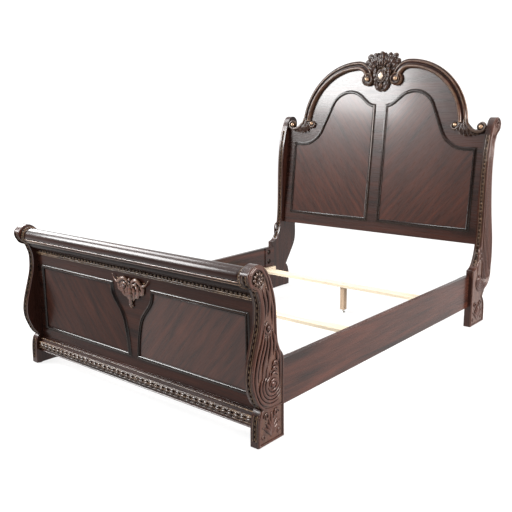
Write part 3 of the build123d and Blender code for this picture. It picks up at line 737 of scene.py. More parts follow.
def wear(piece, finish):
    """Give piece this finish alone."""
    piece.data.materials.clear()
    piece.data.materials.append(finish)


def place_on_bed(piece, finish, *nodes, body="bed_frame"):
    """Finish a piece, ride it on the bed and let it stand for its CAD nodes."""
    wear(piece, finish)
    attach(piece, body)
    if nodes:
        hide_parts(*nodes)


def place_pair(right, finish, node_name=None):
    """Place a right hand piece and its left hand twin; a node that holds both goes right."""
    left = mirrored(right, right.name.replace("_right_", "_left_"))
    nodes = [node_name] if node_name else []
    place_on_bed(right, finish, *nodes)
    place_on_bed(left, finish,
                 *(node.replace("_right_", "_left_") for node in nodes if "_right_" in node))


# ---------------------------------------------------------------- boards
class BED_OT_boards(bpy.types.Operator):
    """Boards, rails, panels and slats with eased edges"""

    bl_idname = "bed.boards"
    bl_label = "Boards and Slats"

    def execute(self, context):
        edge = context.scene.bed_carving.edge
        dark_x = wood("Dark wood along", "dark_wood", "x")
        shadow = wood("Cove wood", "dark_wood", "x", dark=0.5, warm=0.4, gloss=0.07)
        dark_y = wood("Dark wood rails", "dark_wood", "y", warm=1.25)
        dark_z = wood("Dark wood upright", "dark_wood", "z")
        back = wood("Stained backs", "back_wood", "x", warm=0.8)
        back_z = wood("Stained battens", "back_wood", "z", warm=0.8)
        # Stain strength and gloss of each field. Both footboard fields are the same veneer, but the
        # left is made darker with little gloss and the right lighter: painted shade on the left
        # field and a painted sheen on the right.
        field_tones_with_painted_light = {
            "footboard_left_field": (1.15, 0.90, 0.07),
            "footboard_right_field": (1.7, 1.3, 0.22),
            "headboard_left_field": (1.6, 1.2, 0.22),
            "headboard_right_field": (1.6, 1.2, 0.26),
        }
        foot_x = wood("Footboard wood", "dark_wood", "x", dark=0.8, warm=0.85, gloss=0.08)
        head_x = wood("Headboard wood", "dark_wood", "x", gloss=0.26)
        pine = raw_wood("Pine slats", "pine", context.scene.bed_finish.pine, "x")
        pine_y = raw_wood("Pine ledgers", "pine", context.scene.bed_finish.pine, "y")
        tan = raw_wood("Tan leg wood", "leg_wood", (0.42, 0.30, 0.20), "z")
        boards = [
            ("footboard_panel", foot_x, 1), ("footboard_base_rail", dark_x, 1),
            ("footboard_cove_rail", shadow, 0.6), ("footboard_back_panel", back, 0.7),
            ("footboard_core_frame", back, 0.7), ("headboard_panel", head_x, 1),
            ("headboard_back_frame", back_z, 1), ("rail_end_plates", dark_y, 0.5),
        ]
        for side in ("left", "right"):
            boards += [
                (f"footboard_{side}_post", dark_z, 1.6), (f"headboard_{side}_post", dark_z, 1.6),
                (f"{side}_side_rail", dark_y, 1.2), (f"{side}_ledger", pine_y, 0.7),
            ]
        for end in ("foot", "middle", "head"):
            boards += [(f"{end}_slat", pine, 0.9), (f"{end}_centre_leg", tan, 0.5)]
        for name, finish, share in boards:
            piece = eased(name, name + "_board", edge * share)
            place_on_bed(piece, finish, name)
        for name, (dark, warm, gloss) in field_tones_with_painted_light.items():
            veneer = wood("Striped veneer " + name, "veneer", "x", dark=dark, warm=warm, figure=0.9,
                          veneer=50, bump=0.02, gloss=gloss)
            wear(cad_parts[name], veneer)
        return {"FINISHED"}


# ---------------------------------------------------------------- posts
def front_line(node_name, z_from, z_to):
    """Front edge of a post between two heights, from low to high, as (along the bed, up)."""
    loop = outline_of(node_name, side_place(0, POST_INNER))
    middle = sum(point.x for point in loop) / len(loop)
    best = []
    for start in range(len(loop)):
        run = []
        for i in range(len(loop)):
            point = loop[(start + i) % len(loop)]
            if not z_from <= point.y <= z_to:
                break
            run.append(point)
        if len(run) > 1 and sum(point.x for point in run) / len(run) < middle:
            if not best or abs(run[-1].y - run[0].y) > abs(best[-1].y - best[0].y):
                best = run
    if best[0].y > best[-1].y:
        best.reverse()
    return best


def pearls(context, path, x, name):
    """A row of pearls between two fillets along a post's front edge."""
    carving = context.scene.bed_carving
    points = resampled(path, carving.pearl_pitch)
    deselect()
    bpy.ops.mesh.primitive_uv_sphere_add(segments=12, ring_count=8, radius=0.5)
    seed = bpy.context.object
    seed.scale = (carving.pearl_width, carving.pearl_width, carving.pearl_length)
    settle(seed)
    pieces = []
    for start, end in zip(points, points[1:]):
        pearl = duplicate(seed, name + "_pearl")
        way = (end - start).normalized()
        middle = (start + end) / 2
        pearl.rotation_euler = (-math.atan2(way.x, way.y), 0, 0)
        pearl.location = (x, middle.x - way.y * 0.0005, middle.y + way.x * 0.0005)
        pieces.append(pearl)
    bpy.data.objects.remove(seed)
    row = join(pieces, name)
    settle(row)
    even = resampled(path, 0.012)
    lines = [[(point.x, point.y, shift, 0.0026) for point in even] for shift in (-0.0088, 0.0088)]
    fillets = strands(lines, side_place(0, x), name + "_fillets", flat=1.0, smoothness=2)
    return join([row, fillets], name)


class BED_OT_post_beading(bpy.types.Operator):
    """Pearls and fillets on the front edges of the posts"""

    bl_idname = "bed.post_beading"
    bl_label = "Post Beading"

    def execute(self, context):
        # Strong bronze rub on the pearls: partly bronze and partly painted glints.
        finish = carved("Rubbed pearls", 1.5)
        # Black wood for the strips of painted shade.
        shade_strip_wood = wood("Black painted shade", "dark_moulding", "z", dark=0.5, warm=0.35)
        for end, spans in (("footboard", ((0.012, 0.150), (0.182, 0.760))),
                           ("headboard", ((0.395, 1.245),))):
            node_name = f"{end}_right_post_beading"
            low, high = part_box(node_name)
            x = (low.x + high.x) / 2
            rows, grooves = [], []
            for z_from, z_to in spans:
                path = front_line(f"{end}_right_post", z_from, z_to)
                rows.append(pearls(context, path, x, node_name + "_pearls"))
                # A flat black strip under the pearls: painted shade of the channel that they sit
                # in.
                even = [(point.x, point.y, 0, 0.0082) for point in resampled(path, 0.012)]
                grooves.append(strands([even], side_place(0, x), "groove", flat=0.16, smoothness=2))
            right = join(rows, f"{end}_right_pearls")
            smooth(right, 60)
            place_pair(right, finish, node_name)
            right = join(grooves, f"{end}_right_pearl_groove")
            smooth(right, 60)
            place_pair(right, shade_strip_wood)
        return {"FINISHED"}


def carved_plate(end):
    """Ground of a post's carved face with its raised rim."""
    node_name = f"{end}_right_post_carving"
    plate = merged_copy(node_name, f"{end}_right_carving")
    for point in plate.data.vertices:
        if point.co.x > PLATE_BACK + 1e-4:
            point.co.x = PLATE_BACK + PLATE_GROUND
    loop = outline_of(node_name, side_place(0, CARVED_FACE))
    even = resampled(loop + loop[:1], 0.009)[:-1]
    rim = []
    for before, here, after in zip(even[-1:] + even, even, even[1:] + even[:1]):
        along = (after - before).normalized()
        rim.append((here.x - along.y * 0.0062, here.y + along.x * 0.0062, 0.0, 0.0060))
    edge = strands([rim], side_place(0), "rim", flat=0.9, smoothness=2, closed=True)
    return plate, edge


def foot_reeds():
    """Flames and reeds of a footboard post's side, and the eyes that they wind round."""
    eye = (-0.073, 0.265)
    small_eye = (-0.104, 0.520)
    thick = 0.0088
    runs = [
        [(-94, 640), (-101, 700), (-125, 750), (-165, 786), (-203, 774), (-218, 742), (-205, 714),
         (-184, 704)],
        [(-158, 684), (-140, 640), (-138, 580), (-142, 530), (-150, 490)],
        [(-139, 690), (-122, 650), (-118, 600), (-124, 558)],
        [(-120, 700), (-101, 660), (-97, 610), (-104, 570)],
        [(-104, 668), (-81, 620), (-74, 575), (-76, 530)],
        [(-126, 545), (-132, 505), (-146, 455), (-170, 395), (-184, 335), (-184, 285),
         (-168, 238), (-140, 205), (-100, 190)],
        [(-120, 490), (-126, 450), (-147, 400), (-163, 350), (-166, 300)],
        [(-104, 488), (-106, 445), (-122, 400), (-136, 350), (-139, 300)],
        [(-90, 492), (-84, 450), (-92, 405), (-104, 365)],
        [(-76, 510), (-64, 470), (-62, 430), (-68, 395)],
        [(-62, 480), (-44, 430), (-30, 385), (-24, 320), (-24, 240)],
        [(-52, 420), (-44, 385), (-43, 340)],
    ]
    lines = [tapered(mm(run), thick, 0.0, (0.3, 0.25), 0.45, 0.0015) for run in runs]
    for k in range(5):
        radius = 0.031 + 0.0172 * k
        turns = [(200, 560), (118, 340), (132, 325), (146, 308), (168, 292)][k]
        lift = [0.0, 0.028, 0.050, 0.070, 0.0][k]
        wind = spiral(eye, radius, radius * (0.62 if k == 0 else 0.97), *turns, 12, 0.90)
        start = wind[0]
        flame = [(start[0] + 0.012, start[1] + lift), (start[0] + 0.002, start[1] + lift * 0.45)]
        lines.append(tapered((flame if lift else []) + wind, thick, 0.0, (0.3, 0.35), 0.5, 0.001))
    for k in range(3):
        y, z = eye[0] + 0.006 + 0.003 * k, eye[1] + 0.044 + 0.024 * k
        wide = 0.024 - 0.003 * k
        cap = [(y - wide, z - 0.012), (y - wide * 0.3, z + 0.006), (y + wide * 0.5, z + 0.006),
               (y + wide, z - 0.010)]
        lines.append(tapered(cap, 0.0066, 0.001, (0.35, 0.35), 0.5, 0.001))
    lines.append(tapered(spiral(small_eye, 0.024, 0.014, 100, 440, 12, 1.15), 0.0058, 0.001,
                         (0.5, 0.4), 0.5))
    return lines, (eye, small_eye)


def block_leaves(y_low, y_high, z_low, z_high):
    """Leaf carving on the foot block of a post."""
    lines = []
    middle = (y_low + y_high) / 2
    half = (y_high - y_low) / 2 - 0.020
    root = (middle, z_low + 0.022)
    for k in range(-3, 4):
        spread = k / 3
        tip = (middle + spread * half, z_high - 0.020 - abs(spread) * 0.055)
        bend = (middle + spread * half * 0.35, root[1] + (tip[1] - root[1]) * 0.55)
        lines.append(tapered([root, bend, tip], 0.0105, 0.0, (0.3, 0.25), 0.62, 0.001))
    for way in (-1, 1):
        start = 90 - way * 90
        for across, up, wide, tight, sweep, count, thick, out in (
                (0.52, z_high - 0.034, 0.021, 0.006, 400, 9, 0.0055, 0.002),
                (0.86, z_low + 0.030, 0.015, 0.005, 360, 8, 0.0048, 0.0)):
            wind = spiral((middle + way * half * across, up), wide, tight, start,
                          start + way * sweep, count)
            lines.append(tapered(wind, thick, out, (0.4, 0.4), 0.5))
    return lines


class BED_OT_foot_post_carving(bpy.types.Operator):
    """Reeded volutes, rosettes and leaves on the footboard posts"""

    bl_idname = "bed.foot_post_carving"
    bl_label = "Footboard Post Carving"

    def execute(self, context):
        finish = wood("Carved post faces", "dark_moulding", "z", dark=3.0, warm=1.7, figure=0.5,
                      rub=0.10, hollow_shade=1.0, reach=0.014)
        place = side_place(RAIL_FOOT)
        plate, rim = carved_plate("footboard")
        lines, eyes = foot_reeds()
        reeds = strands(lines, place, "reeds", flat=0.85)
        leaves = strands(block_leaves(-0.166, -0.006, 0.010, 0.165), place, "leaves", flat=0.75)
        groove = strands([[(y, z, 0, 0.0045) for y, z in
                           ((-0.148, 0.176), (-0.120, 0.166), (-0.080, 0.160), (-0.004, 0.158))]],
                         place, "groove", flat=0.8)
        buttons = [ball(place, (*eyes[0], 0), 0.016, flat=0.6),
                   ball(place, (*eyes[1], 0.001), 0.0105, flat=0.75, stretch=1.25)]
        right = join([plate, rim, reeds, leaves, groove, *buttons], "footboard_right_carving")
        smooth(right, 40)
        place_pair(right, finish, "footboard_right_post_carving")
        bronze = carved()
        y, z = ROLL_CENTRE.y - RAIL_FOOT, ROLL_CENTRE.z
        petals = []
        for k in range(10):
            angle = 2 * pi * k / 10
            ring = [(y + r * cos(angle + a), z + r * sin(angle + a)) for r, a in
                    ((0.010, 0), (0.022, 0.04), (0.033, 0.0))]
            petals.append(tapered(ring, 0.0088, 0.003, (0.4, 0.45), 0.6))
        flower = strands(petals, place, "petals", flat=0.75)
        rims = [hoop((y, z), radius, radius, out, thick, 20)
                for radius, out, thick in ((0.040, 0.001, 0.0042), (0.048, 0, 0.0032))]
        edge, inner = [strands([rim], place, "rim", closed=True) for rim in rims]
        heart = ball(place, (y, z, 0.004), 0.012, flat=0.8)
        rosette = join([flower, edge, inner, heart], "footboard_right_rosette")
        smooth(rosette, 40)
        place_pair(rosette, bronze, "footboard_rosettes")
        return {"FINISHED"}


def head_reeds():
    """Reeds that run down a headboard post's side and wind round its lower volute."""
    lines = []
    eye = (0.118, 0.300)
    for k in range(6):
        radius = 0.030 + 0.0235 * k
        right = eye[0] + radius
        top = 0.250 - 0.011 * (5 - k)
        neck = 0.205 - 0.0115 * (5 - k)
        down = [(top, 1.230 - 0.004 * k), (neck + 0.006, 1.130), (neck - 0.004, 1.010),
                (neck - 0.002, 0.880), (neck * 0.7 + right * 0.3, 0.720),
                (neck * 0.25 + right * 0.75, 0.560), (right, 0.430)]
        wind = spiral(eye, radius, radius * (0.40 + 0.06 * k), 0, -(380 - 62 * k), 12 - k, 0.85)
        lines.append(tapered(down + wind, 0.0085, 0.0, (0.35, 0.2), 0.6, 0.001))
    for k in range(3):
        leaf = [(eye[0] + 0.040, eye[1] + 0.040), (eye[0] + 0.030 - 0.01 * k, 0.400 + 0.03 * k),
                (eye[0] + 0.000 - 0.008 * k, 0.440 + 0.035 * k),
                (eye[0] - 0.035 - 0.004 * k, 0.375 + 0.02 * k), (eye[0] - 0.040, eye[1] + 0.030)]
        lines.append(tapered(leaf, 0.0065, 0.0, (0.3, 0.3), 0.5))
    return lines, eye


class BED_OT_head_post_carving(bpy.types.Operator):
    """Reeded volutes and leaves on the headboard posts"""

    bl_idname = "bed.head_post_carving"
    bl_label = "Headboard Post Carving"

    def execute(self, context):
        finish = bpy.data.materials["Carved post faces"]
        place = side_place(RAIL_HEAD)
        plate, rim = carved_plate("headboard")
        lines, eye = head_reeds()
        reeds = strands(lines, place, "reeds", flat=0.85)
        leaves = strands(block_leaves(0.006, 0.196, 0.010, 0.170), place, "leaves", flat=0.75)
        button = ball(place, (eye[0], eye[1], 0), 0.017, flat=0.5)
        scroll_eye = (0.262, 1.284)
        scroll = strands([tapered(spiral(scroll_eye, 0.036, 0.010, 190, -210, 12), 0.007, 0.001,
                                  (0.6, 0.4), 0.4)], place, "scroll")
        heart = ball(place, (*scroll_eye, 0.001), 0.013, flat=0.8)
        right = join([plate, rim, reeds, leaves, button, scroll, heart], "headboard_right_carving")
        smooth(right, 40)
        place_pair(right, finish, "headboard_right_post_carving")
        return {"FINISHED"}


# ---------------------------------------------------------------- footboard
class BED_OT_footboard_roll(bpy.types.Operator):
    """Turned roll, its collars and the fillets under it"""

    bl_idname = "bed.footboard_roll"
    bl_label = "Footboard Roll"

    def execute(self, context):
        half = ROLL_HIGH.x
        radius = ROLL_RADIUS
        ends = [(half, 0), (half, radius * 0.96), (half - 0.030, radius * 0.96),
                (half - 0.034, radius * 0.985), (half - 0.040, radius), (half - 0.30, radius)]
        profile = [(-along, out) for along, out in ends] + [(0, radius)] + ends[::-1]
        roll = turned(profile, ROLL_CENTRE, "footboard_roll", steps=96)
        smooth(roll, 25)
        place_on_bed(roll, wood("Turned roll", "dark_wood", "x", dark=0.6, warm=0.65, gloss=0.14),
                     "footboard_top_roll")
        low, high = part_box("footboard_roll_collars")
        collar_radius = (high.z - low.z) / 2
        steps = mm([(1, 4), (4, 1), (8, 3), (10, 6), (16, 6), (18, 3), (22, 1), (25, 4)])
        ring = [(0, radius * 0.8), *((along, collar_radius - down) for along, down in steps),
                (0.026, radius * 0.8)]
        start = Vector((half - 0.026, ROLL_CENTRE.y, ROLL_CENTRE.z))
        collar = turned(ring, start, "collar", steps=64)
        beads = []
        for k in range(22):
            angle = 2 * pi * k / 22
            centre = (start.x + 0.013, start.y + (collar_radius - 0.0055) * cos(angle),
                      start.z + (collar_radius - 0.0055) * sin(angle))
            beads.append(ball(None, centre, 0.0058, rings=6))
        right = join([collar, *beads], "footboard_right_collar")
        smooth(right, 40)
        # Strong bronze rub on the collars: partly bronze and partly painted glints on their rings.
        place_pair(right, carved("Rubbed collars with painted glints", 1.3), "footboard_roll_collars")
        place = frame_of((0, 1, 0), (0, 0, 1), (1, 0, 0), (0, RAIL_FOOT, 0))
        # Black strips paint the shade of the dark lines between the fillets and of the shadow under
        # the roll.
        rows = {"fillets": [(23, 40.8, 4.0), (43, 40.4, 3.6)],
                "grooves": [(14, 39.6, 3.6), (33, 39.8, 3.8)]
                + [(below, 39.6, 4.2) for below in (52, 59, 66, 73, 80)]}
        # The fillets' wood is made much lighter and bronzed so that they read as bright lines:
        # painted highlights.
        light = wood("Light fillets", "dark_moulding", "x", dark=4.0, warm=2.0, rub=1.0, hollow_shade=0.6,
                     gloss=0.35)
        shade_strip_wood = wood("Black painted shade along", "dark_moulding", "x", dark=0.35, warm=0.2, gloss=0.05)
        for name, finish in (("fillets", light), ("grooves", shade_strip_wood)):
            spots = [(ROLL_CENTRE.y - RAIL_FOOT - out / 1000 * cos(radians(below)),
                      ROLL_CENTRE.z - out / 1000 * sin(radians(below)), size / 1000)
                     for below, out, size in rows[name]]
            lines = straight(spots, half - 0.027)
            piece = strands(lines, place, "footboard_roll_" + name, flat=1.0, sides=4)
            smooth(piece, 50)
            place_on_bed(piece, finish)
        return {"FINISHED"}


def row_of(seed, count, pitch, name):
    """Copy seed count times along X, centred on the bed."""
    copies = []
    for i in range(count):
        copy = duplicate(seed, name)
        copy.location.x = (i - (count - 1) / 2) * pitch
        copies.append(copy)
    bpy.data.objects.remove(seed)
    row = join(copies, name)
    settle(row)
    return row


class BED_OT_bead_moulding(bpy.types.Operator):
    """Beaded strip along the top of the footboard"""

    bl_idname = "bed.bead_moulding"
    bl_label = "Footboard Bead Moulding"

    def execute(self, context):
        carving = context.scene.bed_carving
        low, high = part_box("footboard_bead_moulding")
        middle = (low.z + high.z) / 2
        half = high.x
        place = foot_place()
        count = int((2 * half - 0.03) / carving.bead_pitch)
        bead = ball(place, (0, middle + 0.0020, 0.0015), carving.bead / 2, flat=0.95, stretch=1.1,
                    rings=8)
        row = row_of(bead, count, carving.bead_pitch, "beads")
        lines = straight([(high.z + 0.0005, 0.0015, 0.0026), (low.z + 0.0005, 0.002, 0.0042),
                          (low.z - 0.0085, 0.0, 0.0026)], half - 0.0005)
        fillets = strands(lines, rail_place(FOOT_PANEL_FACE), "fillets", flat=1.0)
        piece = join([row, fillets], "footboard_beads")
        smooth(piece, 50)
        place_on_bed(piece, carved("Rubbed beads", 1.6), "footboard_bead_moulding")
        return {"FINISHED"}


class BED_OT_base_carving(bpy.types.Operator):
    """Leaf carving along the footboard's base rail"""

    bl_idname = "bed.base_carving"
    bl_label = "Base Rail Carving"

    def execute(self, context):
        low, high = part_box("footboard_base_carving")
        back = high.y
        middle = (low.z + high.z) / 2
        half = high.x
        tall = (high.z - low.z) / 2
        place = foot_place(back)
        pitch = 0.0366
        count = int(2 * half / pitch)
        parts = []
        for way in (-1, 1):
            spine = [(-0.017, middle + way * 0.001, 0.002), (-0.006, middle + way * 0.007, 0.004),
                     (0.009, middle + way * 0.011, 0.002)]
            parts.append(blade(spine, 0.0052, place, 2, 0.002, along=8, across=6))
        spine = [(-0.015, middle, 0.004), (0.002, middle, 0.006), (0.019, middle, 0.003)]
        parts.append(blade(spine, 0.0050, place, 2, 0.002, along=8, across=6))
        parts.append(ball(place, (-0.0165, middle, 0.004), 0.0036, rings=4))
        leaf = join(parts, "leaf")
        row = row_of(leaf, count, pitch, "leaves")
        spots = [(middle - tall + 0.001, 0.001, 0.0026), (middle + tall - 0.001, 0.001, 0.0026),
                 (high.z + 0.0030, 0.000, 0.0030), (high.z + 0.0185, -0.0135, 0.0032)]
        lines = straight(spots, half - 0.0005)
        fillets = strands(lines, rail_place(back), "fillets", flat=1.0)
        piece = join([row, fillets], "footboard_base_leaves")
        smooth(piece, 50)
        place_on_bed(piece, carved("Bronzed carving", 0.85), "footboard_base_carving")
        return {"FINISHED"}


FIELD_SECTION = mm([
    (-5, -0.4), (-5, 1.2), (-2, 2), (2, 4.2), (5, 7.5), (6.6, 10.4), (7.4, 11.2), (10.4, 11.2),
    (11, 10.2), (11.3, 7.8), (12.4, 7.8), (13.4, 9), (15.2, 9.6), (17.6, 8.4), (19.2, 5.8),
    (19.8, 3), (19.8, -0.4)])


class BED_OT_field_mouldings(bpy.types.Operator):
    """Rounded mouldings around the four veneered fields"""

    bl_idname = "bed.field_mouldings"
    bl_label = "Field Mouldings"

    def execute(self, context):
        # The mouldings are darkened nearly black: painted shade for their shadowed runs.
        finish = wood("Field mouldings", "dark_moulding", "x", dark=0.4, warm=0.35, rub=0.10,
                      hollow_shade=1.0, reach=0.02)
        for end, place in (("footboard", foot_place()), ("headboard", head_place())):
            for side in ("left", "right"):
                node_name = f"{end}_{side}_moulding"
                outline = cleaned(outline_of(node_name, place))
                width = 0.85 if end == "footboard" else 1.0
                section = [(across * width, out) for across, out in FIELD_SECTION]
                path = [(point.x, point.y, 1.0) for point in outline]
                ring = swept(section, path, place, node_name + "_ring", closed=True)
                smooth(ring, 40)
                place_on_bed(ring, finish, node_name)
        return {"FINISHED"}


class BED_OT_footboard_ornament(bpy.types.Operator):
    """Horned leaf ornament in the middle of the footboard"""

    bl_idname = "bed.footboard_ornament"
    bl_label = "Footboard Ornament"

    def execute(self, context):
        place = foot_place()
        spines = [
            ([(58, 592, 4), (82, 576, 6), (86, 554, 6), (68, 534, 3)], 12, 3, 3),
            ([(28, 588, 5), (52, 568, 9), (56, 542, 8), (36, 516, 3)], 14, 4, 5),
            ([(10, 574, 6), (24, 554, 10), (26, 528, 8), (11, 500, 3)], 11.5, 3, 4),
        ]
        blades = both_blades(spines, place)
        spine = mm([(0, 578, 11), (0, 545, 14), (0, 512, 12), (0, 472, 6)])
        blades.append(blade(spine, 0.0135, place, 5, 0.003))
        horn = mm([(8, 576), (22, 598), (48, 606), (72, 596), (90, 584), (110, 590), (134, 618)])
        brow = mm([(14, 570), (30, 582), (52, 580), (66, 562)])
        knobs = [(0, 603, 9, 9.5), (0, 585, 12, 7), (0, 466, 4, 5.5)]
        horns = []
        for way in (-1, 1):
            horns.append(tapered([(way * x, z) for x, z in horn], 0.0095, 0.008, (0.6, 0.15), 0.35,
                                 0.004))
            horns.append(tapered([(way * x, z) for x, z in brow], 0.0060, 0.014, (0.4, 0.3), 0.4))
            knobs += [(way * 11, 473, 4, 4.8), (way * 46, 588, 10, 5.8), (way * 70, 556, 8, 4.8)]
        blades.append(strands(horns, place, "horns", flat=0.95, sides=4))
        balls = [ball(place, (x, z, out), size) for x, z, out, size in mm(knobs)]
        ground = merged_copy("footboard_ornament", "ground")
        for point in ground.data.vertices:
            if point.co.y < FOOT_PANEL_FACE - 1e-4:
                point.co.y = FOOT_PANEL_FACE - 0.004
            point.co.x *= 0.80
            point.co.z = 0.545 + (point.co.z - 0.545) * 0.88
        piece = join([ground, *blades, *balls], "footboard_horn_ornament")
        smooth(piece, 45)
        place_on_bed(piece, wood("Bronzed ornament", "rubbed_carving", "x", dark=7.0, warm=3.2,
                                 figure=0.5, rub=1.4, hollow_shade=1.0, gloss=0.35), "footboard_ornament")
        return {"FINISHED"}


# ---------------------------------------------------------------- headboard
ARCH_SECTION = mm([
    (-31, 0), (-31, 9), (-28, 12), (-24, 10), (-23, 12), (-20, 18), (-15, 20), (-10, 18), (-7, 12),
    (-3, 9), (3, 10), (7, 16), (8, 20), (12, 26), (18, 29), (25, 27), (30, 20), (31, 12), (31, -12),
    (16, -12), (15, 0)])


def arch_path():
    """Middle of the right arch moulding, from the corner to the volute beside the crest."""
    radius = ARCH_RADIUS - BAND / 2
    centre = (ARCH_CENTRE, ARCH_SPRING)
    path = arc(centre, radius, 4.5, 88, 56)
    top = (ARCH_CENTRE, ARCH_SPRING + radius)
    turn = 0.098
    path += arc((top[0], top[1] - turn), turn, 92, 176, 22)
    return path


class BED_OT_arch_mouldings(bpy.types.Operator):
    """Reeded arch mouldings that end in volutes beside the crest"""

    bl_idname = "bed.arch_mouldings"
    bl_label = "Arch Mouldings"

    def execute(self, context):
        place = head_place()
        path = arch_path()
        section = [(-across, out) for across, out in reversed(ARCH_SECTION)]
        band = swept(section, [(x, v, 1.0) for x, v in path], place, "band")
        profile = mm([(-12, 0), (-12, 40), (20, 44.5), (26, 42.5), (28, 39), (24, 34), (22, 30),
                      (22, 0)])
        boss = stud(profile, VOLUTE_EYE, place)
        curl = spiral(VOLUTE_EYE, 0.0400, 0.0150, 150, 560, 18)
        line = [(x, v, 0.026, 0.0040 - 0.0012 * i / 18) for i, (x, v) in enumerate(curl)]
        edge = strands([line], place, "curl", flat=1.0)
        right = join([band, boss, edge], "headboard_right_arch")
        smooth(right, 45)
        finish = wood("Arch moulding", "dark_moulding", "x", dark=1.2, warm=1.2, figure=0.7,
                      rub=0.75, hollow_shade=0.85)
        place_pair(right, finish, "headboard_right_arch_moulding")
        eyes = []
        for eye, out, size in ((VOLUTE_EYE, 0.028, 0.0150), (CORNER_EYE, 0.018, 0.0145),
                               (INNER_EYE, 0.016, 0.0130)):
            for way in (-1, 1):
                eyes.append(ball(place, (way * eye.x, eye.y, out), size, rings=12))
        balls = join(eyes, "headboard_volute_eyes")
        smooth(balls, 60)
        gilt = plain("Gilded eyes", "rubbed_carving", (0.30, 0.20, 0.13), 0.20, 0.55, 0.2, 120.0)
        place_on_bed(balls, gilt)
        return {"FINISHED"}


class BED_OT_corner_scrolls(bpy.types.Operator):
    """Leaves and volutes where the arch meets the shoulders"""

    bl_idname = "bed.corner_scrolls"
    bl_label = "Corner Scrolls"

    def execute(self, context):
        place = head_place()
        foot = ARCH_CENTRE + ARCH_RADIUS

        def from_foot(points):
            return [(foot + across, up) for across, up in mm(points)]

        stems = [
            ([(-10, 800), (-2, 772), (22, 744), (52, 727), (82, 722), (110, 732), (122, 754),
              (110, 776), (90, 778), (78, 764)], 0.0115, 0.010, (0.9, 0.4), 0.3, 0.006),
            ([(-26, 800), (-20, 766), (4, 734), (40, 712), (78, 706)],
             0.0100, 0.006, (0.9, 0.3), 0.3, 0.004),
            ([(-60, 800), (-60, 776), (-66, 752), (-84, 738), (-104, 748), (-106, 768), (-92, 778)],
             0.0085, 0.008, (0.8, 0.4), 0.3, 0.004),
        ]
        lines = [tapered(from_foot(points), *sizes) for points, *sizes in stems]
        root, *tips = from_foot([(-26, 792), (-66, 728), (-42, 703), (-12, 693), (18, 694),
                                 (48, 702)])
        leaf = strands(lines, place, "leaf", flat=1.0, sides=4)
        blades = []
        for k, tip in enumerate(tips):
            bend = (root[0] * 0.5 + tip[0] * 0.5 + 0.005 * (k - 2), root[1] * 0.5 + tip[1] * 0.5)
            spine = [(*root, 0.010), (*bend, 0.014), (*tip, 0.008)]
            blades.append(blade(spine, 0.0140, place, 2, 0.010, along=16, across=10))
        bosses = []
        for eye, radius in ((CORNER_EYE, 0.029), (INNER_EYE, 0.020)):
            profile = [(0, 0), (0, radius), (0.012, radius), (0.016, radius * 0.92),
                       (0.012, radius * 0.75), (0.012, 0)]
            bosses.append(stud(profile, eye, place, steps=40))
        right = join([leaf, *blades, *bosses], "headboard_right_corner")
        smooth(right, 45)
        place_pair(right, carved("Crest carving", 0.55), "headboard_right_corner_scroll")
        return {"FINISHED"}


def slope(z):
    """Distance up the leaning panel for a height above the floor."""
    return (z - HEAD_ORIGIN.z) / cos(LEAN)


